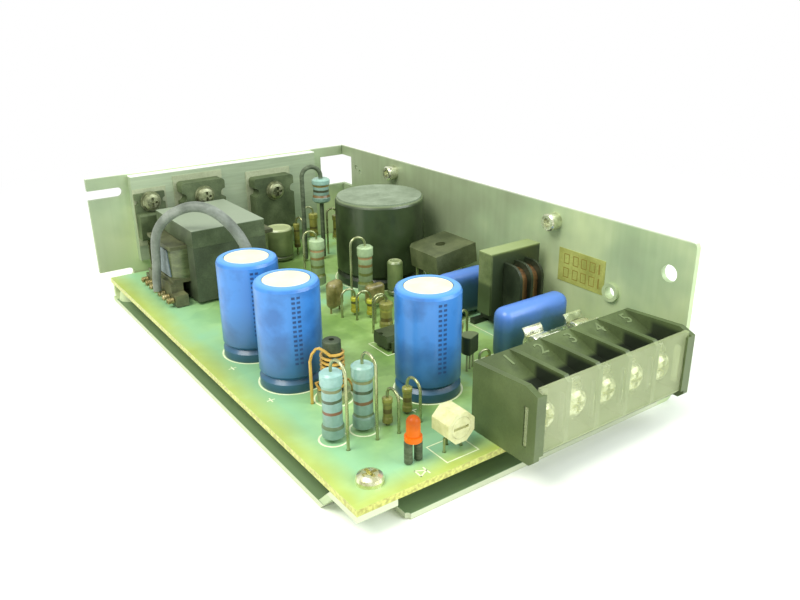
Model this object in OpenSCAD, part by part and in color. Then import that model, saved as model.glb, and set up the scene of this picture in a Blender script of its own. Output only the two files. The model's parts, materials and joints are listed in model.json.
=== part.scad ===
// Open frame switching power supply: a folded sheet chassis that carries one
// circuit board, with a covered screw terminal block at the front end and the
// power devices clamped to a heat spreader at the back end.
// X runs across the unit, Y from the terminal end to the heat spreader, Z up.

/* [Board] */
// Length of the circuit board
board_l = 158; // [150:1:175]
// Width of the circuit board
board_w = 93.5; // [90:0.5:105]
// Thickness of the circuit board
board_t = 1.6; // [1.2:0.2:2.4]
// Length of wire left below the board
lead_tail = 1.2; // [0.8:0.1:2]
// Radial room round a wire in its hole
lead_room = 0.12; // [0.08:0.01:0.2]

/* [Chassis] */
// Thickness of the aluminium sheet
sheet_t = 1.5; // [1.2:0.1:2]
// Inside radius of the sheet's bends
bend_r = 1; // [0.5:0.25:2]
// Height of both walls above the bench
wall_h = 43; // [42:0.5:50]
// Room between the base sheet and the board
base_gap = 5; // [4:0.5:8]
// Gap between the board and the side wall
side_gap = 1.3; // [0.8:0.1:3]
// Gap between the board and the end wall
end_gap = 0.5; // [0.3:0.1:1]
// Reach of the side wall past the board's front edge
wall_front = 2; // [0:0.5:4]
// Reach of the end wall past the board's open edge
flange_out = 3; // [2:0.5:6]
// Seam between the two walls at their corner
seam = 0.3; // [0.2:0.1:0.6]
// Radius of the side wall's front corner
corner_r = 1.8; // [0.5:0.1:4]
// Width of the raised corner tab
tab_w = 9.5; // [9:0.5:14]
// Length of the flat of the corner tab
tab_l = 10; // [9.5:0.5:14]
// Run of the slope that joins the tab to the base
tab_run = 5; // [3:0.5:8]
// Slit that frees the tab from the base
tab_slit = 2.5; // [1.5:0.5:5]
// Width of the corner window along the end wall
window_x = 10; // [6:0.5:11]
// Width of the corner window along the side wall
window_y = 6.5; // [4:0.5:8]
// Bottom of the corner window above the board
window_z = 19.5; // [12:0.5:22]
// Height of the corner window
window_h = 11.5; // [6:0.5:12]
// Top radius of a drawn board support
boss_r = 3.2; // [3:0.1:4]
// Foot radius of a drawn board support
boss_foot_r = 4.4; // [4.2:0.1:6]

/* [Mounting] */
// Distance between the side wall's two tapped holes
side_pitch = 120; // [100:5:125]
// Distance of the first tapped hole behind the board's front edge
side_hole_y = 21.5; // [10:0.5:28]
// Height of the tapped holes above the board
side_hole_z = 15.2; // [8:0.1:20]
// Radius of the tapped M4 holes
side_hole_r = 1.65; // [1.25:0.05:2.1]
// Height of the collar drawn up round a tapped hole
collar_h = 1; // [0.5:0.1:1.2]
// Radius of the plain hole in the wall's front corner
plain_r = 2.25; // [1.6:0.05:2.75]
// Distance of the plain hole behind the board's front edge
plain_y = 4.7; // [3:0.1:10]
// Height of the plain hole above the board
plain_z = 25.3; // [20:0.1:28]
// Width of the open slots in the end wall
slot_w = 3.2; // [3:0.1:4.5]
// Depth of the slots from the wall's free edge
slot_l = 11.3; // [8:0.1:12]
// Height of the lower slot above the board
slot_z = 0.5; // [-0.5:0.1:2]
// Distance between the two slots
slot_pitch = 28.4; // [26:0.1:29]
// Outer radius of a press nut for the cover
nut_r = 2.5; // [2.3:0.1:3]
// Height of a press nut
nut_h = 3.6; // [2.5:0.1:5]
// Radius of the nut's shank in the wall
nut_shank_r = 2.05; // [1.8:0.05:2.2]
// Height of the press nuts above the board
nut_z = 30; // [26:0.5:31]

/* [Fasteners] */
// Radius of a tapped M3 hole
tap_r = 1.25; // [1.1:0.05:1.3]
// Radius of a clearance hole for an M3 screw
clear_r = 1.7; // [1.6:0.05:1.9]
// Radius of an M3 pan head
head_r = 2.95; // [2.6:0.05:3.2]
// Height of an M3 pan head
head_h = 2.1; // [1.6:0.1:2.6]
// Radial room between a screw and its thread
thread_room = 0.06; // [0.04:0.01:0.1]

/* [Terminal block] */
// Number of wire positions
ways = 5; // [3:1:5]
// Distance from one position to the next
way_pitch = 9.5; // [9:0.1:10]
// Thickness of an end plate
end_t = 1.5; // [1.2:0.1:2]
// Thickness of a partition
rib_t = 1.3; // [1:0.1:1.8]
// Depth of the block on the board
block_back = 9.6; // [9:0.1:12]
// Overhang of the block past the board's front edge
block_front = 9.8; // [8:0.1:11]
// Height of the block's back edge
block_h = 16.6; // [14:0.1:20]
// Thickness of the clear cover
cover_t = 1; // [0.8:0.1:1.4]
// Room between the cover and the block
cover_room = 0.15; // [0.05:0.05:0.25]
// Radius of a terminal screw's head
term_head_r = 3.4; // [2.8:0.1:3.6]
// Thickness of a terminal plate
plate_t = 1; // [0.8:0.1:1.2]

/* [Capacitors] */
// Diameter of the blue output capacitors
out_cap_d = 16; // [12.5:0.5:16]
// Height of the blue output capacitors
out_cap_h = 27; // [20:0.5:31]
// Diameter of the black mains capacitor
bulk_d = 29.4; // [22:0.2:30]
// Height of the black mains capacitor
bulk_h = 28; // [20:0.5:35]
// Thickness of a shrink sleeve
sleeve_t = 0.3; // [0.2:0.05:0.5]
// Room between parts that slip over each other
slip = 0.05; // [0.03:0.01:0.08]

/* [Heat spreader] */
// Thickness of the heat spreader
spreader_t = 3; // [2:0.5:4]
// Width of the heat spreader
spreader_w = 70; // [68:0.5:73]
// Height of the heat spreader
spreader_h = 29.4; // [28:0.2:31]
// Thickness of an insulating pad
pad_t = 0.3; // [0.2:0.1:0.6]

/* [Transformer] */
// Length of the ferrite core along Y
core_l = 31.6; // [28:0.2:31.6]
// Depth of the ferrite core along X
core_d = 24; // [12:0.5:24]
// Height of the core's top above the board
core_top = 24; // [20:0.5:25]
// Thickness of the core's outer legs and spines
core_leg = 5.5; // [4.5:0.1:6]
// Width of the core's middle leg
core_mid = 9; // [8:0.2:10]
// Reach of the bobbin past the core at either side
bobbin_out = 6.5; // [5:0.5:7]
// Diameter of the sleeved lead
lead_d = 4.2; // [3:0.1:4.6]

/* [Small parts] */
// Diameter of the adjuster's body
trim_d = 7; // [6:0.1:8]
// Length of the adjuster's body
trim_l = 5.6; // [4.5:0.1:6]
// Radius of the adjuster's rotor
rotor_r = 2.5; // [1.8:0.1:2.8]
// Radius of the rotor's shaft
rotor_shaft_r = 1; // [0.6:0.1:1.3]
// Running room round the rotor
rotor_room = 0.06; // [0.04:0.01:0.1]
// Diameter of the indicator's lens
led_d = 3; // [2.5:0.1:3.4]
// Length of the sleeves under the indicator
led_sleeve_l = 5.2; // [3:0.1:8]
// Lean of the bridge rectifier on its leads
bridge_lean = 7; // [0:1:10]
// Diameter of the rod choke's ferrite
rod_d = 4.4; // [3.6:0.1:5]
// Turns on the rod choke
rod_turns = 8; // [5:1:8]

/* [Hidden] */
$fn = 48;
// Overlap that lets a cut pass a face cleanly
e = 0.01;

// Chassis faces, measured from the board's near open corner and from the bench
board_z = sheet_t + base_gap;
top_z = board_z + board_t;
side_in = board_w + side_gap;
side_out = side_in + sheet_t;
end_in = board_l + end_gap;
end_out = end_in + sheet_t;
wall_foot = sheet_t + bend_r;
window_x0 = side_in - window_x;
// Middle of the whole unit, which the model stands on
mid_x = (side_out - flange_out) / 2;
mid_y = (end_out - block_front) / 2;
pin_end = -board_t - lead_tail;

// Board supports: the two with a screw, then the plain one
tab_hole = [7.1, 6.3];
boss_screws = [[board_w - 4.5, 14], [board_w - 6.5, board_l - 8]];
boss_plain = [4.8, board_l - 6];

// Places of the parts on the board, each at its middle
out_caps = [[14.9, 75.5], [15.4, 54.4], [39.9, 30.4]];
bulk_at = [76, 104.5];
bridge_at = [81, 78];
choke_at = [82.2, 48];
line_film_at = [73, 30.2];
rear_film_at = [76, 61];
fuse_at = [74.6, 20.6];
block_x = 36.2;
rod_at = [18.8, 39.8];
trim_at = [27.8, 3];
led_at = [18.2, 6.8];
opto_at = [47.2, 55.6];
xf_at = [27, board_l - 27];
xf_x0 = xf_at.x - core_d / 2;
xf_y0 = xf_at.y - core_l / 2;

// Standing resistors: place, body diameter, foot of the body, body length, step to the second hole
power_r = [[9.3, 24, 5, 0.8, 15.7, [0.3, -5.6]], [16.9, 23.6, 5, 0.8, 15.4, [0, -5.4]]];
bleeder_r = [[50.8, 103, 5, 3, 15, [-4, 1.2]], [59.2, 87.8, 5, 3, 15, [-4.6, 1]]];
raised_r = [[69.3, 131.5, 6.4, 21.4, 8.4, [-6.6, 1.5]]];
small_r = [[22.2, 22, 2.4, 0.6, 6.4, [0, -4.4]], [28.8, 23.6, 2.4, 0.6, 6.2, [0, -5]],
    [71, 141.5, 3.4, 6, 8.6, [-3.6, 1]], [77, 134.5, 3.4, 6, 8.6, [-3.6, 1]],
    [63.8, 141.4, 2.4, 3, 9, [0.8, -3.6]], [58.8, 42, 3, 1, 7.5, [4, 1]], [51.3, 65, 4, 1, 7.8, [-4, 0.6]]];
diodes = [[50.2, 80, 2.6, 1, 4.8, [-4.2, 0.6]], [53, 75.6, 2.6, 1, 4.8, [-4.4, 0.8]],
    [55.6, 70.6, 2.4, 1, 4.4, [-4, 0.6]], [57, 27.2, 2.2, 1, 3.8, [-3, 0.4]]];
standing = concat(power_r, bleeder_r, raised_r, small_r, diodes);
// Small film and disc capacitors: place, width, thickness, height, turn
discs = [[46.8, 86, 6, 3.6, 10, 20], [58, 81, 6.6, 2.8, 8, 0], [66.2, 67.5, 7, 3, 8.5, 10]];
// Small electrolytics: place, diameter, height
small_cans = [[69.4, 86.4, 5, 11.6], [56.4, 141, 9.6, 12]];
// Three-legged transistors: place and turn
to92s = [[54.8, 32.2, 20], [64, 56, 100]];
// Devices on the heat spreader: middle across and height of the screw
dev_rectifier = [33.6, 25.4];
dev_switch = [60.5, 23.2];
dev_start = [15.8, 25.4];
devices = [dev_rectifier, dev_switch, dev_start];

// Wire radii
wire_r = 0.35;
thin_wire_r = 0.28;
snap_r = 0.7;
tag_r = 0.6;
leg_r = 0.5;

// Heat spreader and devices
spreader_x = 10.5;
spreader_z = 4.7;
spreader_y = end_in - spreader_t;
dev_back = spreader_y - pad_t;
tall_w = 15.6;
tall_h = 20;
tall_t = 4.8;
tall_hole = 5;
tab3_w = 10.2;
tab3_h = 15.4;
tab3_t = 4.4;
tab3_hole = 2.8;
tab3_plate = 1.3;
lead_plane = 2.4;
washer_t = 0.5;

// Terminal block
way_x = [for (i = [0:ways - 1]) block_x + end_t + way_pitch * (i + 0.5)];
block_w = ways * way_pitch + 2 * end_t;
seat_y = -2.6;
term_z = 8.2;
tag_y = 5;
tag_z = 3;
block_floor = 1.4;
block_rise = 1;
cover_y = -block_front + 0.6;
cover_z0 = 2.2;
cover_top = block_h + block_rise - 0.2;
lug_y = -6.9;
lug_z = [3.9, 12.9];

// Legs of each part, as place and wire radius
function beside(c, s, r) = [for (k = [-1, 1]) [c.x + k * s, c.y, r]];
opto_pins = [for (k = [-1, 1]) for (i = [-1:1]) [opto_at.x + 2.54 * i, opto_at.y + 3.81 * k, leg_r]];
bridge_pins = [for (i = [-1, 1]) for (j = [-1, 1]) [bridge_at.x + 5.2 * i, bridge_at.y + 5.2 * j, leg_r]];
choke_pins = [for (i = [-1, 1]) for (j = [-1, 1]) [choke_at.x + 6.5 * i, choke_at.y + 6 * j, leg_r]];
xf_pin_x = core_d / 2 + bobbin_out - 2;
xf_pins = [for (k = [-1, 1]) for (j = [-3:3]) [xf_at.x + k * xf_pin_x, xf_at.y + 4 * j, leg_r]];
clip_x = [fuse_at.x - 7, fuse_at.x + 7];
clip_pins = [for (x = clip_x) for (k = [-1, 1]) [x, fuse_at.y + 1.8 * k, leg_r]];
rod_step = 5.6;
rod_pins = [for (k = [-1, 1]) [rod_at.x + k * rod_step, rod_at.y + 0.6, wire_r]];
trim_pins = [for (i = [-1:1]) [trim_at.x + 2.3 * i, trim_at.y + 2.8 + (i == 0 ? 2 : 0), thin_wire_r]];
led_pins = beside(led_at, 1.27, thin_wire_r);
dev_pins = concat([for (d = [dev_rectifier, dev_switch]) for (i = [-1:1]) [d.x + 5.45 * i,
    dev_back - lead_plane, leg_r]],
    [for (i = [-1:1]) [dev_start.x + 2.54 * i, dev_back - lead_plane, leg_r]]);
to92_pins = [for (t = to92s) for (i = [-1:1]) [t.x + 1.5 * i * cos(t[2]), t.y + 1.5 * i * sin(t[2]),
    thin_wire_r]];
line_film_pitch = 20;
rear_film_pitch = 11;
film_pins = concat(beside(line_film_at, line_film_pitch / 2, wire_r), beside(rear_film_at,
    rear_film_pitch / 2, wire_r));
disc_pins = [for (d = discs) for (k = [-1, 1]) [d.x + 2 * k * cos(d[5]), d.y + 2 * k * sin(d[5]),
    thin_wire_r]];
can_pins = concat([for (c = out_caps) each beside(c, 3.75, 0.4)], beside(bulk_at, 5, snap_r),
    [for (c = small_cans) each beside(c, c[2] > 6 ? 2.5 : 1, thin_wire_r)]);
standing_pins = [for (r = standing) each [[r.x, r.y, wire_r], concat(far_end(r, r[5]), wire_r)]];
tag_pins = [for (x = way_x) [x, tag_y, tag_r]];
lead_hole = [xf_x0 + 13.8, xf_at.y - 28, 1.2];
link_pins = [[44.4, 46.6, wire_r], [44.4, 39, wire_r], [31, 66, wire_r], [31, 56, wire_r],
    [33.5, 92, wire_r], [41, 92, wire_r]];
holes = concat(opto_pins, bridge_pins, choke_pins, xf_pins, clip_pins, rod_pins, trim_pins, led_pins,
    dev_pins,
    to92_pins, film_pins, disc_pins, can_pins, standing_pins, tag_pins, [lead_hole], link_pins);

// ---- Frames and shared shapes ----

// Shifts what is drawn from the board's corner and the bench to the unit's own frame
module in_frame() { translate([-mid_x, -mid_y, 0]) children(); }

// The same, for what is drawn from the board's component face
module on_board() { translate([-mid_x, -mid_y, top_z]) children(); }

// Sheet standing across X, from an outline in Y and Z
module slab_x(x, t) { translate([x, 0, 0]) rotate([90, 0, 90]) linear_extrude(t) children(); }

// Sheet standing across Y, from an outline in X and Z
module slab_y(y, t) { translate([0, y + t, 0]) rotate([90, 0, 0]) linear_extrude(t) children(); }

// Rectangle between two corners
module rect(x0, y0, x1, y1) { translate([x0, y0]) square([x1 - x0, y1 - y0]); }

// Rectangle between two corners, with round corners
module round_rect(x0, y0, x1, y1, r) {
    rect(x0 + r, y0, x1 - r, y1);
    rect(x0, y0 + r, x1, y1 - r);
    for (x = [x0 + r, x1 - r]) for (y = [y0 + r, y1 - r]) translate([x, y]) circle(r);
}

// What rounding a corner of radius r takes away; the corner is at the origin, the sheet at -X -Y
module corner_cut(r) {
    translate([-r, -r]) difference() {
        square(r + 1);
        circle(r);
    }
}

// Quarter of a bend, seen along it, from the flat's end to the wall's foot
module bend_section() {
    translate([0, wall_foot]) intersection() {
        difference() {
            circle(wall_foot);
            circle(bend_r);
        }
        translate([0, -wall_foot]) square(wall_foot);
    }
}

// Round wire that stands on its axis
module post(x, y, r, z0, z1) { translate([x, y, z0]) cylinder(r = r, h = z1 - z0); }

// Cross recess of a screw, cut downwards from the origin
module cross_recess(w, d) {
    for (a = [0, 90]) rotate([0, 0, a]) translate([-w / 2, -w / 8, -d]) cube([w, w / 4, d + e]);
}

// Pan head with a cross recess, on the plane Z = 0
module pan_head(r, h) {
    difference() {
        rotate_extrude() polygon([[0, 0], [r, 0], [r, 0.4 * h], [0.9 * r, 0.72 * h], [0.62 * r,
            0.95 * h], [0, h]]);
        translate([0, 0, h]) cross_recess(1.15 * r, 0.6 * h);
    }
}

// M3 pan screw: head above Z = 0, thread below
module pan_screw(l) {
    pan_head(head_r, head_h);
    translate([0, 0, -l]) cylinder(r = tap_r - thread_room, h = l);
}

// How far a step reaches, rounded so that its half is a round number too
function reach_of(step) = round(norm(step) * 50) / 50;
function turn_of(step) = atan2(step.y, step.x);
// Where a wire comes down again after a step
function far_end(at, step) = [at.x + reach_of(step) * cos(turn_of(step)),
    at.y + reach_of(step) * sin(turn_of(step))];

// Wire bent over from height z0 to a level z_top, and down again at the far end of the step to z1
module hoop(step, w, z0, z_top, z1) {
    reach = reach_of(step);
    rotate([0, 0, turn_of(step)]) {
        post(0, 0, w, z0, z_top);
        translate([reach / 2, 0, z_top]) rotate([90, 0, 0]) rotate_extrude(angle = 180)
            translate([reach / 2, 0]) circle(w, $fn = 16);
        post(reach, 0, w, z1, z_top);
    }
}

// Wire laid over the board between two holes, at height z, with bends of radius b
module link(step, w, z, b) {
    l = reach_of(step);
    rotate([0, 0, turn_of(step)]) {
        for (k = [0, 1]) translate([k * l, 0, 0]) mirror([k, 0, 0]) {
            post(0, 0, w, pin_end, z - b);
            translate([b, 0, z - b]) rotate([90, 0, 0]) rotate([0, 0, 90]) rotate_extrude(angle = 90)
                translate([b, 0]) circle(w, $fn = 16);
        }
        translate([b, 0, z]) rotate([0, 90, 0]) cylinder(r = w, h = l - 2 * b);
    }
}

// Body of a resistor that stands on end, with its pressed end caps
module resistor_body(d, l) {
    r = d / 2;
    cap = min(l / 5, 0.55 * d);
    waist = 0.88 * r;
    rotate_extrude() polygon([[0, 0], [0.8 * r, 0], [r, 0.16 * r], [r, cap], [waist, cap + 0.3 * r],
        [waist, l - cap - 0.3 * r], [r, l - cap], [r, l - 0.16 * r], [0.8 * r, l], [0, l]]);
}

// Standing parts of one list
module stand(list) {
    for (p = list) translate([p.x, p.y, p[3]]) resistor_body(p[2], p[4]);
}

// ---- Chassis ----

module side_outline() {
    y_back = end_out;
    difference() {
        rect(-wall_front, wall_foot, y_back, wall_h);
        translate([-wall_front, wall_h]) mirror([1, 0]) corner_cut(corner_r);
        rect(end_in - window_y, top_z + window_z, y_back + 1, top_z + window_z + window_h);
        translate([plain_y, top_z + plain_z]) circle(plain_r);
        for (k = [0, 1]) translate([side_hole_y + k * side_pitch, top_z + side_hole_z]) circle(side_hole_r);
        for (y = nut_y) translate([y, top_z + nut_z]) circle(nut_shank_r + slip);
        for (k = [0, 1]) translate([end_in - 10 - 2.6 * k, top_z + 27.4 - 1.4 * k]) circle(0.9);
    }
}

nut_y = [43.2, 122.7];

module end_outline() {
    x_end = side_in - seam;
    difference() {
        rect(-flange_out, wall_foot, x_end, wall_h);
        // The edge steps back below the lower slot
        rect(-flange_out - 1, wall_foot - 1, 1, top_z + slot_z);
        rect(window_x0, top_z + window_z, x_end + 1, top_z + window_z + window_h);
        for (k = [0, 1]) translate([0, top_z + slot_z + k * slot_pitch]) {
            rect(-flange_out - 1, -slot_w / 2, slot_l - flange_out - slot_w / 2, slot_w / 2);
            translate([slot_l - flange_out - slot_w / 2, 0]) circle(slot_w / 2);
        }
        for (d = devices) translate([d.x, top_z + d.y]) circle(tap_r);
    }
}

// Flat of the base, less the corner that becomes the raised tab
module base_outline() {
    difference() {
        rect(0, 0.3, side_in - bend_r, end_in - bend_r);
        rect(-1, -1, tab_w + tab_slit, tab_l + tab_run + 0.5);
        translate([tab_w + tab_slit, 0.3]) circle(0.8);
    }
}

module chassis() {
    relief = bend_r + 1.2;
    color("#b9bdae") in_frame() difference() {
        union() {
            linear_extrude(sheet_t) base_outline();
            translate([side_in - bend_r, 0, 0]) slab_y(0.3, end_in - relief - 0.3) bend_section();
            slab_x(side_in, sheet_t) side_outline();
            translate([0, end_in - bend_r, 0]) slab_x(1, side_in - relief - 1) bend_section();
            slab_y(end_in, sheet_t) end_outline();
            // Corner tab, raised to the board's underside
            slab_x(0, tab_w) polygon([[0, board_z], [tab_l, board_z], [tab_l + tab_run, sheet_t],
                [tab_l + tab_run + 0.5, sheet_t], [tab_l + tab_run + 0.5, 0], [tab_l + tab_run - 0.7, 0],
                [tab_l - 0.7, base_gap], [0, base_gap]]);
            for (b = concat(boss_screws, [boss_plain])) translate([b.x, b.y, 0])
                rotate_extrude() polygon([[0, 0], [boss_foot_r, 0], [boss_foot_r, sheet_t], [boss_r,
                    board_z], [0, board_z]]);
            for (k = [0, 1]) translate([side_in - collar_h, side_hole_y + k * side_pitch,
                top_z + side_hole_z])
                rotate([0, 90, 0]) cylinder(r = side_hole_r + 0.9, h = collar_h + e);
        }
        for (b = concat(boss_screws, [boss_plain])) translate([b.x, b.y, -e]) rotate_extrude()
            polygon([[0, 0], [boss_foot_r - sheet_t, 0], [boss_r - sheet_t + 0.3, base_gap + 0.2], [0,
                base_gap + 0.2]]);
        for (b = concat(boss_screws, [tab_hole])) translate([b.x, b.y, -1]) cylinder(r = tap_r,
            h = board_z + 2);
        for (k = [0, 1]) translate([side_in - collar_h - 1, side_hole_y + k * side_pitch,
            top_z + side_hole_z])
            rotate([0, 90, 0]) cylinder(r = side_hole_r, h = collar_h + sheet_t + 2);
    }
}

module cover_nuts() {
    color("#d8dad2") in_frame() for (y = nut_y) translate([side_out, y, top_z + nut_z]) rotate([0, -90,
        0]) difference() {
        union() {
            cylinder(r = nut_shank_r, h = sheet_t + e);
            translate([0, 0, sheet_t]) cylinder(r = nut_r, h = nut_h - 0.4);
            translate([0, 0, sheet_t + nut_h - 0.4]) cylinder(r1 = nut_r, r2 = nut_r - 0.4, h = 0.4);
        }
        translate([0, 0, -1]) cylinder(r = tap_r, h = sheet_t + nut_h + 2);
    }
}

module input_label() {
    color("#e0cf4e") on_board() translate([side_in - 0.15, 24.2, 13.3]) cube([0.15, 16.7, 9.7]);
}

// ---- Board ----

module circuit_board() {
    color("#a9c266") on_board() difference() {
        translate([0, 0, -board_t]) cube([board_w, board_l, board_t]);
        for (h = holes) post(h.x, h.y, h[2] + lead_room, -board_t - 1, 1);
        for (b = concat(boss_screws, [tab_hole])) post(b.x, b.y, clear_r, -board_t - 1, 1);
    }
}

// A fillet of solder round every wire, under the board
module solder_joints() {
    color("#c9ccc8") on_board() for (h = holes) translate([h.x, h.y, -board_t]) rotate_extrude($fn = 24)
        polygon([[h[2] + lead_room, 0], [h[2] + 0.9, 0], [h[2] + 0.35, -0.6], [h[2] + lead_room, -0.9]]);
}

module board_screws() {
    color("#c9c7b4") on_board() for (b = concat(boss_screws, [tab_hole])) translate([b.x, b.y, 0])
        pan_screw(board_t + sheet_t + 1);
}

// ---- Heat spreader and its devices ----

module heat_spreader() {
    color("#c3c6b8") on_board() difference() {
        slab_y(spreader_y, spreader_t) difference() {
            rect(spreader_x, spreader_z, spreader_x + spreader_w, spreader_z + spreader_h);
            for (d = devices) translate([d.x, d.y]) circle(tap_r);
        }
    }
}

module insulating_pads() {
    color("#cfd2c4") on_board() slab_y(dev_back, pad_t) {
        for (d = [dev_rectifier, dev_switch]) difference() {
            rect(d.x - tall_w / 2 - 1.1, d.y - tall_h + tall_hole - 1.5, d.x + tall_w / 2 + 1.1,
                d.y + tall_hole + 2);
            translate([d.x, d.y]) circle(clear_r);
        }
        difference() {
            rect(spreader_x, dev_start.y - tab3_h, dev_start.x + tab3_w / 2 + 1,
                dev_start.y + tab3_hole + 1.4);
            translate([dev_start.x, dev_start.y]) circle(clear_r);
        }
    }
}

// Tall flat package with a screw hole and a notch in each side
module tall_package(d) {
    difference() {
        slab_y(dev_back - tall_t, tall_t) difference() {
            rect(d.x - tall_w / 2, d.y + tall_hole - tall_h, d.x + tall_w / 2, d.y + tall_hole);
            translate([d.x, d.y]) circle(clear_r);
            for (k = [-1, 1]) {
                translate([d.x + k * tall_w / 2, d.y]) circle(1.6);
                translate([d.x + k * (tall_w / 2 + e), d.y + tall_hole + e]) scale([k, 1]) corner_cut(1.2);
            }
        }
        // The mould slopes off along the front's lower edge
        translate([d.x, dev_back - tall_t, d.y + tall_hole - tall_h]) rotate([45, 0, 0])
            cube([tall_w + 2, 1.2, 1.2], center = true);
    }
}

module output_rectifier() { color("#3b4038") on_board() tall_package(dev_rectifier); }

module switching_transistor() { color("#33382f") on_board() tall_package(dev_switch); }

module start_transistor() {
    d = dev_start;
    foot = d.y + tab3_hole - tab3_h;
    color("#5b6152") on_board() {
        slab_y(dev_back - tab3_plate, tab3_plate) difference() {
            rect(d.x - tab3_w / 2, foot, d.x + tab3_w / 2, d.y + tab3_hole);
            translate([d.x, d.y]) circle(clear_r);
            for (k = [-1, 1]) translate([d.x + k * tab3_w / 2, d.y]) circle(0.9);
        }
        slab_x(d.x - tab3_w / 2, tab3_w) polygon([[dev_back - tab3_plate, foot],
            [dev_back - tab3_t + 0.5, foot],
            [dev_back - tab3_t, foot + 0.8], [dev_back - tab3_t, foot + 8.4], [dev_back - tab3_t + 0.7,
                foot + 9],
            [dev_back - tab3_plate, foot + 9]]);
    }
}

// Flat leg that narrows where it enters the board
module flat_leg(x, y, z_top, wide, thin) {
    shoulder = 3;
    translate([x - wide / 2, y - thin / 2, shoulder]) cube([wide, thin, z_top - shoulder]);
    translate([x - 0.35, y - thin / 2, pin_end]) cube([0.7, thin, shoulder - pin_end]);
}

module device_leads() {
    y = dev_back - lead_plane;
    color("#c4c6bb") on_board() {
        for (d = [dev_rectifier, dev_switch]) for (i = [-1:1])
            flat_leg(d.x + 5.45 * i, y, d.y + tall_hole - tall_h, 1.5, 0.6);
        for (i = [-1:1]) flat_leg(dev_start.x + 2.54 * i, y, dev_start.y + tab3_hole - tab3_h, 1.1, 0.5);
    }
}

module device_screws() {
    color("#c9c9b2") on_board() for (i = [0:2]) {
        d = devices[i];
        body_t = i == 2 ? tab3_plate : tall_t;
        translate([d.x, dev_back - body_t, d.y]) rotate([90, 0, 0]) {
            difference() {
                cylinder(r = head_r + 0.5, h = washer_t);
                translate([0, 0, -1]) cylinder(r = tap_r, h = washer_t + 2);
            }
            translate([0, 0, washer_t + slip]) pan_screw(washer_t + slip + body_t + pad_t + spreader_t
                + sheet_t - 0.3);
        }
    }
}

// ---- Transformer ----

core_z0 = 1;
window_y0 = xf_y0 + core_leg;
window_w = (core_l - 2 * core_leg - core_mid) / 2;
window_floor = core_z0 + core_leg;
window_top = core_top - core_leg;
tube_t = 0.8;
flange_t = 1.1;
fit = 0.1;

module transformer_core_e() {
    color("#3a4036") on_board() slab_x(xf_x0, core_d) difference() {
        rect(xf_y0, core_z0, xf_y0 + core_l, window_top);
        for (k = [0, 1]) translate([window_y0 + k * (window_w + core_mid), window_floor])
            square([window_w, window_top]);
    }
}

module transformer_core_i() {
    color("#6a7164") on_board() slab_x(xf_x0, core_d) rect(xf_y0, window_top + slip, xf_y0 + core_l,
        core_top);
}

// Former: a tube round the middle leg, two flanges and a pin rail at either side
module transformer_bobbin() {
    z0 = window_floor + fit;
    z1 = window_top - fit;
    y0 = xf_at.y - core_mid / 2 - fit - tube_t;
    y1 = xf_at.y + core_mid / 2 + fit + tube_t;
    flange_y0 = window_y0 + fit;
    flange_y1 = xf_y0 + core_l - core_leg - fit;
    out = bobbin_out;
    color("#6f6c45") on_board() difference() {
        union() {
            translate([xf_x0 - tube_t - fit, y0, z0]) cube([core_d + 2 * (tube_t + fit), y1 - y0, z1 - z0]);
            for (z = [z0, z1 - flange_t]) translate([xf_x0 - out + 1, flange_y0, z])
                cube([core_d + 2 * out - 2, flange_y1 - flange_y0, flange_t]);
            for (k = [-1, 1]) translate([xf_at.x + k * xf_pin_x, xf_at.y, 0]) {
                translate([-2, -14, 0.3]) cube([4, 28, 3.6]);
                translate([-2, flange_y0 - xf_at.y, 3.8]) cube([4, flange_y1 - flange_y0, z0 - 3.8 + e]);
                // Wire channels between the pins rise from the rail
                for (j = [-3:2]) translate([-2, 4 * j + 1.5, 3.8]) cube([1.6, 1, 2]);
            }
        }
        translate([xf_x0 - fit, xf_at.y - core_mid / 2 - fit, z0 - 1])
            cube([core_d + 2 * fit, core_mid + 2 * fit, z1 - z0 + 2]);
        for (p = xf_pins) {
            post(p.x, p.y, p[2] + slip, -1, 3);
            xf_stub(p, 0.4 + slip, 3);
        }
    }
}

// The taped coil, which bulges out of the core at either side
module transformer_winding() {
    z0 = window_floor + fit + flange_t + slip;
    z1 = window_top - fit - flange_t - slip;
    bulge = bobbin_out - 1.6;
    y0 = window_y0 + 2 * fit;
    y1 = xf_y0 + core_l - core_leg - 2 * fit;
    hole_x = core_d / 2 + fit + tube_t + slip;
    hole_y = core_mid / 2 + fit + tube_t + slip;
    color("#7c7a3e") on_board() translate([0, 0, z0]) linear_extrude(z1 - z0) difference() {
        round_rect(xf_x0 - bulge, y0, xf_x0 + core_d + bulge, y1, 4);
        rect(xf_at.x - hole_x, xf_at.y - hole_y, xf_at.x + hole_x, xf_at.y + hole_y);
    }
}

// Bent pins in the rails: one leg down through the board, one out with the wire wound on it
stub_z = 2.2;
stub_l = 4.4;
module xf_stub(p, r, l) {
    k = p.x < xf_at.x ? -1 : 1;
    translate([p.x, p.y, stub_z]) rotate([0, k * 90, 0]) cylinder(r = r, h = l);
}

module transformer_pins() {
    color("#b58d4c") on_board() for (p = xf_pins) {
        k = p.x < xf_at.x ? -1 : 1;
        post(p.x, p.y, p[2], pin_end, 2.9);
        xf_stub(p, 0.4, stub_l);
        for (i = [0:3]) translate([p.x + k * (2.4 + 0.5 * i), p.y, stub_z]) rotate([0, 90,
            0]) rotate_extrude()
            translate([0.6, 0]) circle(0.36, $fn = 16);
    }
}

// Insulating tape folded down over the coil's open side
module winding_tape() {
    x = xf_x0 - bobbin_out + 1.6 - 0.35 - slip;
    color("#8796a0") on_board() slab_x(x, 0.35) polygon([[xf_at.y - 7.5, 8.2], [xf_at.y + 1.8, 7.9],
        [xf_at.y + 2.4, 16.2],
        [xf_at.y - 6.3, 16.6]]);
}

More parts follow.
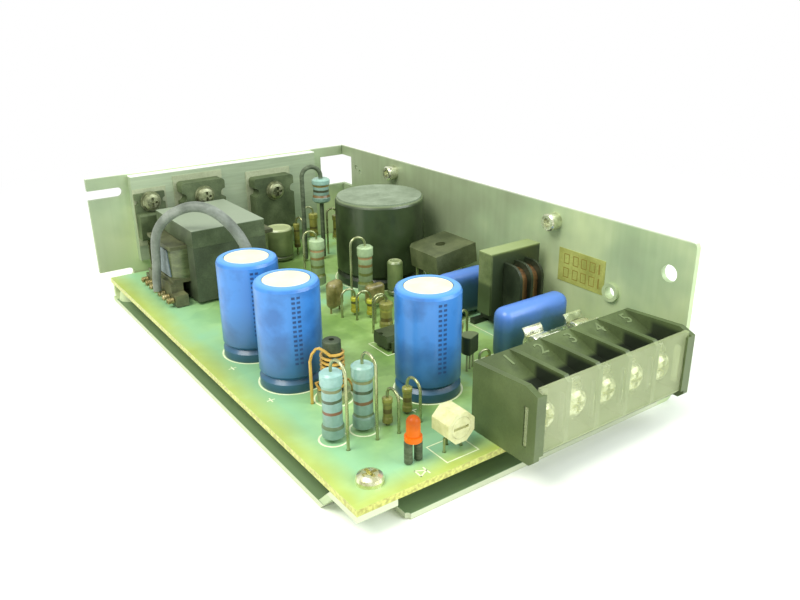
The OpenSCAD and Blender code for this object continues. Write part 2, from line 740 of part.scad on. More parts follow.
// Route of the sleeved lead, chosen by hand: up past the coil from a wound pin, then over the core
// and down to the board
lead_x = xf_x0 - bobbin_out - lead_d / 2;
lead_rise = [[-0.2, -4, 3.4], [-0.1, -4, 7], [0.5, -4.3, 11], [0.6, -4.6, 14.7], [0.6, -5.2, 18.5],
    [0.8, -6.5, core_top - 1.5], [2, -9.2, core_top + 2.4], [4.2, -11.7, core_top + 5.1],
    [6.8, -14.5, core_top + 7.1], [9.6, -17.1, core_top + 8.1]];
lead_drop = [[-10, 7.9, core_top + 7.8], [-7.4, 5.9, core_top + 6], [-5.2, 4.3, core_top + 3.5],
    [-3.4, 2.5, core_top + 0.5], [-2, 1, core_top - 2.8], [-1, 0.1, 17.3], [-0.4, -0.3, 13.2],
    [-0.1, -0.2, 8.9], [0, 0, 4.5], [0, 0, 0.1]];
lead_route = concat([for (p = lead_rise) [lead_x + p.x, xf_at.y + p.y, p.z]],
    [for (p = lead_drop) [lead_hole.x + p.x, lead_hole.y + p.y, p.z]]);

function unit(v) = v / norm(v);
function along(p, i) = unit(p[min(i + 1, len(p) - 1)] - p[max(i - 1, 0)]);
// A ring of n points round point c, square to direction t and started from direction u
function ring(c, t, u, r, n) = let (a = unit(cross(t, u)), b = cross(a, t))
    [for (k = [0:n - 1]) c + r * (cos(360 * k / n) * b - sin(360 * k / n) * a)];

// A tube of n sides swept along the points p
module tube(p, r, n, up = [0, 0, 1]) {
    rings = [for (i = [0:len(p) - 1]) each ring(p[i], along(p, i), up, r, n)];
    last = len(p) - 1;
    sides = [for (i = [0:last - 1]) for (k = [0:n - 1]) let (k2 = (k + 1) % n)
        [i * n + k, i * n + k2, (i + 1) * n + k2, (i + 1) * n + k]];
    polyhedron(rings, concat(sides, [[for (k = [n - 1:-1:0]) k], [for (k = [0:n - 1]) last * n + k]]));
}

module lead_sleeve() {
    color("#8e9488") on_board() {
        tube(lead_route, lead_d / 2, 12, [1, 1, 0]);
        post(lead_hole.x, lead_hole.y, lead_hole[2], pin_end, 0.1);
    }
}

// ---- Capacitors ----

// Can with a rolled groove near its foot and its two legs, drawn at its middle
module can(d, h, spread, leg) {
    r = d / 2 - sleeve_t - slip;
    groove = 0.12 * h;
    rotate_extrude() polygon([[0, 0.4], [r - 1, 0.4], [r - 0.6, 0], [r, 0.3], [r, groove - 1], [r - 0.9,
        groove],
        [r, groove + 1], [r, h - 1.2], [r - 0.8, h - 0.5], [0, h - 0.5]]);
    for (k = [-1, 1]) post(k * spread, 0, leg, pin_end, 0.4);
}

// Shrink sleeve: follows the groove and laps over the can's top
module sleeve(d, h) {
    r = d / 2;
    groove = 0.12 * h;
    lap = 0.74 * r;
    inner = r - sleeve_t;
    rotate_extrude() polygon([[r, 0.1], [r, groove - 1], [r - 0.85, groove], [r, groove + 1], [r, h - 1.1],
        [r - 0.35, h - 0.35], [r - 1, h], [lap, h], [lap, h - sleeve_t], [inner - 0.75, h - 0.5 + slip],
        [inner, h - 1.3], [inner, groove + 0.9], [inner - 0.85, groove], [inner, groove - 0.9], [inner,
            0.1]]);
}

module disc(d, h) { translate([0, 0, h - 0.5 + slip]) cylinder(r = 0.72 * d / 2, h = 0.35); }

module output_capacitor(i) { color("#aeb4b8") on_board() translate(out_caps[i]) can(out_cap_d, out_cap_h,
    3.75, 0.4); }
module output_capacitor_1() { output_capacitor(0); }
module output_capacitor_2() { output_capacitor(1); }
module output_capacitor_3() { output_capacitor(2); }

module capacitor_sleeves() { color("#2f78d8") on_board() for (c = out_caps) translate(c)
    sleeve(out_cap_d, out_cap_h); }

module capacitor_discs() { color("#f3f1dd") on_board() for (c = out_caps) translate(c) disc(out_cap_d,
    out_cap_h); }

module bulk_capacitor() { color("#9aa09a") on_board() translate(bulk_at) can(bulk_d, bulk_h, 5, snap_r); }

module bulk_sleeve() { color("#30352c") on_board() translate(bulk_at) sleeve(bulk_d, bulk_h); }

module bulk_disc() { color("#8d978c") on_board() translate(bulk_at) disc(bulk_d, bulk_h); }

module small_electrolytics() {
    color("#5d6b3a") on_board() for (c = small_cans) translate([c.x, c.y, 0]) {
        r = c[2] / 2;
        h = c[3];
        rotate_extrude() polygon([[0, 0.4], [r - 0.4, 0.4], [r, 0.8], [r, 1.6], [r - 0.35, 2], [r, 2.4],
            [r, h - 0.6],
            [r - 0.5, h], [r - 0.9, h], [r - 1, h - 0.25], [0, h - 0.25]]);
        for (k = [-1, 1]) post(k * (r > 3 ? 2.5 : 1), 0, thin_wire_r, pin_end, 0.4);
    }
}

// Dipped block: a flat core in a coat with soft edges, width w, thickness t, from z0 to z1
module dipped(w, t, z0, z1, r) {
    hull() for (x = [-1, 1]) for (y = [-1, 1]) for (z = [z0 + r, z1 - r])
        translate([x * (w / 2 - r), y * (t / 2 - r), z]) sphere(r, $fn = 20);
}

// A dipped block: one rounded outline from above, one from the front and one from the end
module dipped_block(w, t, z0, z1, r) {
    intersection() {
        translate([0, 0, z0]) linear_extrude(z1 - z0) round_rect(-w / 2, -t / 2, w / 2, t / 2, r);
        slab_y(-t / 2 - 1, t + 2) round_rect(-w / 2, z0, w / 2, z1, r);
        slab_x(-w / 2 - 1, w + 2) round_rect(-t / 2, z0, t / 2, z1, r * 0.9);
    }
}

module line_film_capacitor() {
    color("#3d7fcf") on_board() translate(line_film_at) {
        dipped_block(27, 8, 0.6, 16.6, 3);
        for (k = [-1, 1]) post(k * line_film_pitch / 2, 0, wire_r, pin_end, 2.5);
    }
}

module rear_film_capacitor() {
    color("#3d7fcf") on_board() translate(rear_film_at) {
        dipped_block(18, 6, 0.6, 14.2, 2.2);
        for (k = [-1, 1]) post(k * rear_film_pitch / 2, 0, wire_r, pin_end, 2.5);
    }
}

module disc_capacitors() {
    color("#7d5f32") on_board() for (d = discs) translate([d.x, d.y, 0]) rotate([0, 0, d[5]]) {
        dipped(d[2], d[3], 1.4, d[4], d[3] / 2 - 0.1);
        for (k = [-1, 1]) post(2 * k, 0, thin_wire_r, pin_end, 2.2);
    }
}

// ---- Mains parts ----

bridge_s = 15.6;
bridge_t = 6.3;
bridge_top = 17;

// The rectifier's own frame: its top face is the plane Z = 0
module bridge_frame() { translate([bridge_at.x, bridge_at.y, bridge_top]) rotate([0, -bridge_lean,
    0]) children(); }

module bridge_block() {
    translate([0, 0, -bridge_t]) linear_extrude(bridge_t) difference() {
        square(bridge_s, center = true);
        translate([-bridge_s / 2, bridge_s / 2]) rotate([0, 0, 45]) square(3, center = true);
    }
}

module bridge_rectifier() {
    color("#3c4034") on_board() {
        bridge_frame() difference() {
            bridge_block();
            translate([0, 0, -bridge_t - 1]) cylinder(r = 1.6, h = bridge_t + 2);
        }
    }
}

// Ring core of the choke, standing across X
ring_w = 18.4;
ring_z = [5.5, 23.6];
ring_t = 5;
ring_bar = 4.6;

module choke_core() {
    color("#586050") on_board() slab_y(choke_at.y - ring_t / 2, ring_t) difference() {
        rect(choke_at.x - ring_w / 2, ring_z[0], choke_at.x + ring_w / 2, ring_z[1]);
        rect(choke_at.x - ring_w / 2 + ring_bar, ring_z[0] + ring_bar, choke_at.x + ring_w / 2 - ring_bar,
            ring_z[1] - ring_bar);
    }
}

// Former on the core's lower bar: three flanges with round shoulders, a tube and two feet
choke_flanges = [-4, 0, 4];
choke_flange_t = 0.9;
choke_tube = [ring_z[0] - fit, ring_z[0] + ring_bar + fit];

module choke_flange_outline() {
    difference() {
        union() {
            round_rect(choke_at.y - 9.4, 6, choke_at.y + 6.6, 20.4, 4.2);
            rect(choke_at.y - 9.4, 1.4, choke_at.y + 6.6, 12);
        }
        // The ring passes through here
        rect(choke_at.y - ring_t / 2 - fit, ring_z[1] - ring_bar - fit, choke_at.y + ring_t / 2 + fit,
            ring_z[1]);
    }
}

module choke_bobbin() {
    tube_y = ring_t / 2 + fit;
    color("#2c312a") on_board() difference() {
        union() {
            for (x = choke_flanges) slab_x(choke_at.x + x - choke_flange_t / 2,
                choke_flange_t) choke_flange_outline();
            translate([choke_at.x - 4, choke_at.y - tube_y - 0.8, choke_tube[0] - 0.8])
                cube([8, 2 * tube_y + 1.6, choke_tube[1] - choke_tube[0] + 1.6]);
            for (k = [-1, 1]) translate([choke_at.x - 8, choke_at.y + k * 6 - 1, 0]) cube([16, 2, 1.5]);
        }
        slab_y(choke_at.y - tube_y, 2 * tube_y)
            rect(choke_at.x - 10, choke_tube[0], choke_at.x + 10, choke_tube[1]);
        for (p = choke_pins) post(p.x, p.y, p[2] + slip, -1, 1);
    }
}

// Enamelled wire between the flanges, one rounded layer over another
module choke_windings() {
    tube_y = ring_t / 2 + fit + 0.8 + slip;
    color("#9a6a34") on_board() for (k = [0, 1]) {
        x0 = choke_at.x + choke_flanges[k] + choke_flange_t / 2 + slip;
        x1 = choke_at.x + choke_flanges[k + 1] - choke_flange_t / 2 - slip;
        slab_x(x0, x1 - x0) difference() {
            round_rect(choke_at.y - 8, 1.7, choke_at.y + 5.6, choke_tube[1] + 8.6, 3.6);
            rect(choke_at.y - tube_y, choke_tube[0] - 0.8 - slip, choke_at.y + tube_y,
                choke_tube[1] + 0.8 + slip);
        }
    }
}

// Fuse in two spring clips, lying along X
fuse_r = 2.6;
fuse_l = 20;
fuse_z = 6.4;
fuse_cap_l = 5.4;

module fuse_caps() {
    color("#cdd0c4") on_board() for (k = [0,
        1]) translate([fuse_at.x - fuse_l / 2 + k * (fuse_l - fuse_cap_l), fuse_at.y, fuse_z])
        rotate([0, 90, 0]) difference() {
            cylinder(r = fuse_r, h = fuse_cap_l);
            translate([0, 0, k == 0 ? 0.5 : -1]) cylinder(r = fuse_r - 0.3, h = fuse_cap_l + 0.5);
        }
}

module fuse_glass() {
    color("#dfe8dd") on_board() translate([fuse_at.x - fuse_l / 2 + 0.6, fuse_at.y, fuse_z]) rotate([0,
        90, 0])
        cylinder(r = fuse_r - 0.3 - slip, h = fuse_l - 1.2);
}

// One spring clip seen along X: a cup for the fuse, flared lips and a foot
module clip_outline() {
    t = 0.4;
    r = fuse_r + slip;
    difference() {
        union() {
            circle(r + t);
            rect(-r - t + 0.2, -fuse_z + 0.3, r + t - 0.2, 0);
            for (k = [-1, 1]) scale([k, 1]) polygon([[r - 0.9, 1.6], [r - 0.4, 1.5], [r + 1, 4.9],
                [r + 0.5, 5]]);
        }
        circle(r);
        rect(-1.7, 1, 1.7, 6);
        rect(-r + 0.2, -fuse_z + 0.7, r - 0.2, -1.2);
    }
}

module fuse_clips() {
    color("#dadccb") on_board() for (x = clip_x) {
        translate([0, fuse_at.y, fuse_z]) slab_x(x - 1.9, 3.8) clip_outline();
        for (k = [-1, 1]) post(x, fuse_at.y + 1.8 * k, leg_r, pin_end, 0.35);
    }
}

// ---- Terminal block ----

// End plate seen along X, with its front corner cut off
module end_plate_outline() {
    polygon([[block_back, 0], [block_back, block_h], [-6.4, block_h + block_rise], [-block_front,
        block_h - 0.3],
        [-block_front, 1.3], [1.4 - block_front, 0]]);
}

// Partition: a shoulder at the back, then level to just behind the cover
module partition_outline() {
    front = cover_y + cover_t + cover_room;
    polygon([[block_back, 0], [block_back, block_h], [block_back - 3, block_h + 0.2], [front + 1.2,
        block_h + 0.3],
        [front, block_h - 0.8], [front, 1.2], [front + 1, 0]]);
}

// Body behind the terminal plates: the sloping ledge, the plates' seat and the floor
module core_outline() {
    front = cover_y + cover_t + cover_room;
    polygon([[block_back, 0], [block_back, block_h], [0.6, 13.2], [seat_y, 12.6], [seat_y, block_floor],
        [front, block_floor], [front, 1.2], [front + 1, 0]]);
}

module terminal_block() {
    color("#454b3f") on_board() difference() {
        union() {
            slab_x(block_x, block_w) core_outline();
            for (x = [block_x, block_x + block_w - end_t]) slab_x(x, end_t) end_plate_outline();
            for (i = [1:ways - 1]) slab_x(block_x + end_t + way_pitch * i - rib_t / 2,
                rib_t) partition_outline();
            // Lips that hold the cover's ends from the front
            for (k = [0, 1]) translate([block_x + (k == 0 ? end_t - e : block_w - end_t - 1.1 + e),
                -block_front, cover_z0])
                cube([1.1, cover_y + block_front - cover_room, cover_top - cover_z0 - 1.2]);
        }
        // Slot in either end plate for the cover's lug
        translate([block_x - 1, lug_y - 0.6, lug_z[0] - cover_room])
            cube([block_w + 2, 1.2, lug_z[1] - lug_z[0] + 2 * cover_room]);
        for (x = way_x) {
            // Thread and tag of one position
            translate([x, 3, term_z]) rotate([90, 0, 0]) cylinder(r = 1.9, h = 3 - seat_y + 1);
            translate([x - 1.3, seat_y - 1, tag_z - 0.6]) cube([2.6, tag_y + 1.4 - seat_y + 1, 1.2]);
            post(x, tag_y, tag_r + slip, -1, tag_z);
        }
    }
}

module terminal_plates() {
    y = seat_y - slip - plate_t;
    color("#c8cbc0") on_board() for (x = way_x) {
        difference() {
            translate([x - 3.7, y, 1.6]) cube([7.4, plate_t, 10.8]);
            translate([x, y + plate_t + 1, term_z]) rotate([90, 0, 0]) cylinder(r = 1.75, h = plate_t + 2);
        }
        translate([x - 1.1, y + plate_t - e, tag_z - 0.4]) cube([2.2, tag_y + 0.9 - y - plate_t, 0.8]);
        post(x, tag_y, tag_r, pin_end, tag_z);
    }
}

// Screw with its square washer, one in each position
module terminal_screws() {
    plate_y = seat_y - slip - plate_t;
    color("#d9dac8") on_board() for (x = way_x) translate([x, plate_y - slip, term_z]) rotate([90, 0, 0]) {
        difference() {
            translate([-3.5, -3.5, 0]) cube([7, 7, 0.7]);
            translate([0, 0, -1]) cylinder(r = 1.9, h = 3);
        }
        translate([0, 0, 0.7 + slip]) {
            pan_head(term_head_r, 2.4);
            translate([0, 0, -5.6]) cylinder(r = 1.75 - thread_room, h = 5.6);
        }
    }
}

// Clear cover: a front sheet, a return behind either end plate and a lug through it
module terminal_cover() {
    x0 = block_x + end_t + cover_room;
    x1 = block_x + block_w - end_t - cover_room;
    color("#dfe3c8", 0.6) on_board() {
        translate([x0, cover_y, cover_z0]) cube([x1 - x0, cover_t, cover_top - cover_z0]);
        for (k = [0, 1]) {
            translate([k == 0 ? x0 : x1 - 0.8, cover_y + cover_t - e, lug_z[0]])
                cube([0.8, lug_y + 0.45 - cover_y - cover_t + e, lug_z[1] - lug_z[0]]);
            translate([k == 0 ? block_x + 0.15 : x1 - e, lug_y - 0.45, lug_z[0]])
                cube([end_t + cover_room - 0.15 + e, 0.9, lug_z[1] - lug_z[0]]);
        }
    }
}

// ---- Front corner ----

rod_z = [1.7, 15.4];
coil_z = [3, 12.6];
coil_wire = 0.42;

module rod_seat() {
    color("#b9c79a") on_board() translate([rod_at.x, rod_at.y, 0]) difference() {
        cylinder(r = 4, h = 2.2);
        translate([0, 0, rod_z[0] - slip]) cylinder(r = rod_d / 2 + slip, h = 2);
    }
}

module rod_ferrite() {
    color("#3b403a") on_board() translate([rod_at.x, rod_at.y, 0]) difference() {
        rotate_extrude() polygon([[0, rod_z[0]], [rod_d / 2, rod_z[0]], [rod_d / 2, rod_z[1] - 0.3],
            [rod_d / 2 - 0.3, rod_z[1]], [0, rod_z[1]]]);
        translate([0, 0, rod_z[1] - 3]) cylinder(r = 0.7, h = 4);
    }
}

// One length of wire: up from the board, over to the rod, down in turns and away to its second hole
module rod_winding() {
    r = rod_d / 2 + coil_wire + slip;
    steps = 14;
    n = rod_turns * steps;
    top = coil_z[1] + 1.6;
    up = [for (z = [pin_end, 0, 4, 8, 11]) [-rod_step, 0.6, z]];
    over = [[-rod_step + 0.5, 0.5, 12.8], [-rod_step + 1.5, 0.3, 13.9], [-r - 0.9, -0.4, top], [-r, -1.2,
        coil_z[1] + 0.9]];
    turns = [for (i = [2:n]) let (a = 180 + 360 * i / steps) [r * cos(a), r * sin(a),
        coil_z[1] - (coil_z[1] - coil_z[0]) * i / n]];
    away = [[-r - 0.6, 0.9, 2.75], [-2.4, 4.4, 2.7], [2.6, 4.6, 2.7], [rod_step - 0.3, 1.8, 2.5],
        [rod_step, 0.6, 1.4],
        [rod_step, 0.6, pin_end]];
    color("#d9902b") on_board() translate([rod_at.x, rod_at.y, 0]) tube(concat(up, over, turns, away),
        coil_wire - 0.05, 6, [0.3, 0.2, 1]);
}

module power_resistor_1() { color("#9fd0cf") on_board() stand([power_r[0]]); }
module power_resistor_2() { color("#9fd0cf") on_board() stand([power_r[1]]); }
module bleeder_resistors() { color("#b9c0a0") on_board() stand(bleeder_r); }
module raised_resistor() { color("#a8cdbf") on_board() stand(raised_r); }
module small_resistors() { color("#a9905a") on_board() stand(small_r); }
module signal_diodes() { color("#b7bf4a") on_board() stand(diodes); }

// Bare wires of the standing parts, the bridge, the choke, the small parts and the board's links
module component_leads() {
    color("#c2c5b4") on_board() {
        for (p = concat(power_r, bleeder_r, small_r, diodes)) translate([p.x, p.y, 0]) {
            post(0, 0, wire_r, pin_end, p[3]);
            hoop(p[5], wire_r, p[3] + p[4], p[3] + p[4] + 0.7, pin_end);
        }
        for (p = choke_pins) post(p.x, p.y, p[2], pin_end, 0.9);
        difference() {
            for (p = bridge_pins) post(p.x, p.y, p[2], pin_end, bridge_top);
            bridge_frame() translate([0, 0, -bridge_t / 2]) cube([30, 30, bridge_t + 0.02], center = true);
            translate([bridge_at.x - 15, bridge_at.y - 15, bridge_top - 2]) cube(30);
        }
        for (p = trim_pins) post(p.x, p.y, p[2], pin_end, trim_foot(p.x - trim_at.x));
        for (i = [0:2:len(link_pins) - 1]) translate([link_pins[i].x, link_pins[i].y, 0])
            link(link_pins[i + 1] - link_pins[i], wire_r, 1.2, 0.8);
        for (p = raised_r) for (q = [p, far_end(p, p[5])]) post(q.x, q.y, wire_r, pin_end, 1);
        for (k = [-1, 1]) post(led_at.x + 1.27 * k, led_at.y, thin_wire_r, pin_end, 0.3);
    }
}

// Dark sleeves on the raised resistor's wires and on the indicator's legs
module lead_sleeving() {
    s = 0.75;
    color("#3f463c") on_board() {
        for (p = raised_r) translate([p.x, p.y, 0]) {
            post(0, 0, s, 1, p[3]);
            hoop(p[5], s, p[3] + p[4], p[3] + p[4] + 0.9, 1);
        }
        for (k = [-1, 1]) translate([led_at.x + 1.27 * k, led_at.y, 0.3]) cylinder(r = 0.9,
            h = led_sleeve_l - 0.3);
    }
}

module indicator_led() {
    r = led_d / 2;
    color("#e8502a") on_board() translate([led_at.x, led_at.y, led_sleeve_l]) {
        cylinder(r = r + 0.4, h = 1.1);
        translate([0, 0, 1]) cylinder(r = r, h = 3.2);
        translate([0, 0, 4.2]) intersection() {
            sphere(r);
            translate([-r, -r, 0]) cube([2 * r, 2 * r, r]);
        }
    }
}

// Adjuster: an eight-sided body on three legs, its rotor facing the board's front edge
trim_z = 6.4;
// Top of a leg under the body's flat or its corner
function trim_foot(dx) = trim_z - trim_d / 2 - 0.02
    + (abs(dx) > 1 ? abs(dx) - thin_wire_r - trim_d * 0.207 : 0);
rotor_l = 1.1;

module trim_frame() { translate([trim_at.x, trim_at.y, trim_z]) rotate([-90, 0, 0]) children(); }

module trimmer_body() {
    color("#efeee0") on_board() trim_frame() difference() {
        linear_extrude(trim_l) polygon([for (i = [0:7]) trim_d / 2 / cos(22.5) * [cos(45 * i + 22.5),
            sin(45 * i + 22.5)]]);
        translate([0, 0, -1]) cylinder(r = rotor_r + rotor_room, h = rotor_l + 1 + rotor_room);
        cylinder(r = rotor_shaft_r + rotor_room, h = trim_l - 1);
    }
}

module trimmer_rotor() {
    color("#e4e2cf") on_board() trim_frame() difference() {
        union() {
            cylinder(r = rotor_r, h = rotor_l);
            cylinder(r = rotor_shaft_r, h = trim_l - 1.2);
        }
        translate([-rotor_r + 0.5, -0.35, -1]) cube([2 * rotor_r - 1, 0.7, 1.6]);
    }
}

// Dual in-line package: sloping sides, a notch at one end and legs bent down on either side
module optocoupler() {
    leg_z = 2.9;
    color("#2d322b") on_board() {
        translate([opto_at.x, opto_at.y, 0]) difference() {
            slab_x(-4.3, 8.6) polygon([[-3.1, 1], [3.1, 1], [3.3, leg_z], [2.9, 4.6], [-2.9, 4.6], [-3.3,
                leg_z]]);
            translate([-4.3, 0, 4]) cylinder(r = 0.8, h = 1);
        }
        for (p = opto_pins) {
            side = p.y < opto_at.y ? -1 : 1;
            translate([p.x - 0.7, p.y - 0.12, 0.8]) cube([1.4, 0.24, leg_z - 0.8]);
            translate([p.x - 0.3, p.y - 0.12, pin_end]) cube([0.6, 0.24, 0.9 - pin_end]);
            translate([p.x - 0.7, min(p.y + 0.12, p.y - 0.12 - side * 0.8), leg_z - 0.24]) cube([1.4,
                0.8, 0.24]);
        }
    }
}

// Half-round package on three legs
module small_transistors() {
    color("#2b302a") on_board() for (t = to92s) translate([t.x, t.y, 0]) rotate([0, 0, t[2]]) {
        translate([0, 0, 4.8]) linear_extrude(4.8) difference() {
            circle(2.35);
            rect(-3, -3, 3, -1.2);
        }
        for (i = [-1:1]) post(1.5 * i, 0, thin_wire_r, pin_end, 4.8);
    }
}

chassis();
circuit_board();
solder_joints();
board_screws();
cover_nuts();
input_label();
heat_spreader();
insulating_pads();
switching_transistor();
output_rectifier();
start_transistor();
device_leads();
device_screws();
transformer_core_e();
transformer_core_i();
transformer_bobbin();
transformer_winding();
transformer_pins();
winding_tape();
lead_sleeve();
output_capacitor_1();
output_capacitor_2();
output_capacitor_3();
capacitor_sleeves();
capacitor_discs();
bulk_capacitor();
bulk_sleeve();
bulk_disc();
bridge_rectifier();
choke_core();
choke_bobbin();
choke_windings();
line_film_capacitor();
rear_film_capacitor();
fuse_clips();
fuse_caps();
fuse_glass();
terminal_block();
terminal_plates();
terminal_screws();
terminal_cover();
rod_ferrite();
rod_winding();
rod_seat();
power_resistor_1();
power_resistor_2();
bleeder_resistors();
raised_resistor();
small_resistors();
component_leads();
lead_sleeving();
indicator_led();
trimmer_body();
trimmer_rotor();
small_electrolytics();
disc_capacitors();
optocoupler();
small_transistors();
signal_diodes();
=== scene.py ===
import bpy
import bmesh
import json
import math
from mathutils import Matrix, Vector


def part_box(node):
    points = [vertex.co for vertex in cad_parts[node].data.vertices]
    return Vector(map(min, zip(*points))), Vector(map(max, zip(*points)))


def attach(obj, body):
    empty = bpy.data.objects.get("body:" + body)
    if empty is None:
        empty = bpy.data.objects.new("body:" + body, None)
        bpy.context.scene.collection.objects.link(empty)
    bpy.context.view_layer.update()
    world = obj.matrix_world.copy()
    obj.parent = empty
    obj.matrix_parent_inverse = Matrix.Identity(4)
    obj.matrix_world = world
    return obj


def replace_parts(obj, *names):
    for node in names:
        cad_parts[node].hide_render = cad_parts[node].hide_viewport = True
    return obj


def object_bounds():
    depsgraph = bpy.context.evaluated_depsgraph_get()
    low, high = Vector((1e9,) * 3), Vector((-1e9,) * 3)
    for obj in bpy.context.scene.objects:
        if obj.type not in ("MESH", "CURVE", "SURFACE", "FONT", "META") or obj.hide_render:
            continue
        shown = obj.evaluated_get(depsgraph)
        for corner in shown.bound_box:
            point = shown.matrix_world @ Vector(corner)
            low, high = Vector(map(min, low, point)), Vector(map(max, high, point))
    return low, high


# An open frame power supply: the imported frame, dressed with its finishes and small detail.
# Lengths in the dictionaries are millimetres and colours are sRGB hex.
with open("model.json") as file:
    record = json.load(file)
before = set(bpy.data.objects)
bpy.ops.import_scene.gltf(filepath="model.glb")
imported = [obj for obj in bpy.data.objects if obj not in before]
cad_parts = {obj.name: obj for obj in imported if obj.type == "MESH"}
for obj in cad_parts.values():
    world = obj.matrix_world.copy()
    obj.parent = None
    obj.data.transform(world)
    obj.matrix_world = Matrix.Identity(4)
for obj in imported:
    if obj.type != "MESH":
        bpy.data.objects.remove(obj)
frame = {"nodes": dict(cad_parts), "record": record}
cadBox = [list(corner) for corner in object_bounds()]
nodes = frame["nodes"]
mm = 0.001
print("frame loaded:", len(nodes), "nodes")


def lin(hexColour):
    parts = [int(hexColour[i:i + 2], 16) / 255 for i in (1, 3, 5)]
    return tuple(c / 12.92 if c <= 0.04045 else ((c + 0.055) / 1.055) ** 2.4 for c in parts) + (1.0,)


def addNode(mat, kind, inputs=None, stops=None, **settings):
    # one node: its settings, its values or links, and a ramp's colours
    node = mat.node_tree.nodes.new("ShaderNode" + kind)
    for key, value in settings.items():
        setattr(node, key, value)
    for key, value in (inputs or {}).items():
        if isinstance(value, bpy.types.NodeSocket):
            mat.node_tree.links.new(value, node.inputs[key])
        else:
            node.inputs[key].default_value = value
    if stops:
        elements = node.color_ramp.elements
        elements.remove(elements[1])
        elements[0].position = stops[0][0]
        elements[0].color = lin(stops[0][1])
        for place, colour in stops[1:]:
            elements.new(place).color = lin(colour)
    return node


def newMaterial(name, shader):
    # a material, its Principled shader, and the object's own coordinates
    mat = bpy.data.materials.new(name)
    mat.use_nodes = True
    mat.node_tree.nodes.clear()
    bsdf = addNode(mat, "BsdfPrincipled", shader)
    addNode(mat, "OutputMaterial", {"Surface": bsdf.outputs[0]})
    return mat, bsdf, addNode(mat, "TexCoord").outputs["Object"]


def wire(mat, bsdf, colour, worn=None, rough=None, relief=None, bump=None, wornFrom=(0.0, 1.0)):
    # Links what varies over a surface to its shader: its colour, a roughness that follows how worn it is,
    # and a bump, as strength and millimetres, that follows its relief.
    mat.node_tree.links.new(colour, bsdf.inputs["Base Color"])
    if worn:
        spread = addNode(mat, "MapRange", {
            "Value": worn, "From Min": wornFrom[0], "From Max": wornFrom[1],
            "To Min": rough[0], "To Max": rough[1]})
        mat.node_tree.links.new(spread.outputs[0], bsdf.inputs["Roughness"])
    if relief:
        raised = addNode(mat, "Bump", {"Height": relief, "Strength": bump[0], "Distance": bump[1] * mm})
        mat.node_tree.links.new(raised.outputs[0], bsdf.inputs["Normal"])


# Most of a noise lies within its middling values.
middling = (0.3, 0.7)

# A mottle's colours run over spread of its noise from where it starts.
mottleLook = dict(start=0.34, spread=0.32, fleck=[(0.36, "#5c5c5c"), (0.64, "#a4a4a4")], bumpShare=0.15)


def mottled(name, look):
    # A coarse mottle of the colours, a fine fleck and bump, and a roughness that follows the mottle.
    # A stretch under 1 draws the pattern out along that axis, as rolling does. Levels recolour what lies
    # near or above a node's top, and shade boxes lay painted shade on what lies in a box, fading in over its
    # edge.
    mat, bsdf, place = newMaterial(name, look.get("shader", {}))
    mapped = addNode(mat, "Mapping", {
        "Vector": place, "Scale": look.get("stretch", (1, 1, 1))}).outputs[0]
    coarse = addNode(mat, "TexNoise", {
        "Vector": mapped, "Scale": 1 / (look["patchMm"] * mm), "Detail": 4, "Roughness": 0.6}).outputs[0]
    fine = addNode(mat, "TexNoise", {
        "Vector": mapped, "Scale": 1 / (look["grainMm"] * mm), "Detail": 3, "Roughness": 0.55}).outputs[0]
    last = len(look["colours"]) - 1
    body = addNode(mat, "ValToRGB", {"Fac": coarse}, [
        (mottleLook["start"] + mottleLook["spread"] * i / last, colour)
        for i, colour in enumerate(look["colours"])]).outputs[0]
    fleck = addNode(mat, "ValToRGB", {"Fac": fine}, mottleLook["fleck"]).outputs[0]
    colour = addNode(mat, "Mix", {0: look.get("fleck", 0.25), 6: body, 7: fleck},
                     data_type="RGBA", blend_type="OVERLAY").outputs[2]
    axes = addNode(mat, "SeparateXYZ", {"Vector": place}).outputs
    for node, colourOver, fromMm, toMm in look.get("levels", ()):
        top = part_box(node)[1].z
        level = addNode(mat, "MapRange", {
            "Value": axes[2], "From Min": top - fromMm * mm, "From Max": top - toMm * mm}).outputs[0]
        colour = addNode(mat, "Mix", {0: level, 6: colour, 7: lin(colourOver)},
                         data_type="RGBA").outputs[2]
    # painted shade: a darker colour in each shade box, where light doesn't reach
    for shadeColour, lowMm, highMm, softMm in look.get("shadeBoxes", ()):
        share = 1.0
        for axis in range(3):
            for edge, turn in ((lowMm[axis], 1), (highMm[axis], -1)):
                inside = addNode(mat, "MapRange", {
                    "Value": axes[axis], "From Min": edge * mm,
                    "From Max": (edge + turn * softMm) * mm}).outputs[0]
                share = addNode(mat, "Math", {0: share, 1: inside}, operation="MULTIPLY").outputs[0]
        colour = addNode(mat, "Mix", {0: share, 6: colour, 7: lin(shadeColour)},
                         data_type="RGBA").outputs[2]
    wire(mat, bsdf, colour, coarse, look["rough"], fine,
         (look.get("bump", 0.2), look["grainMm"] * mottleLook["bumpShare"]), wornFrom=middling)
    return mat


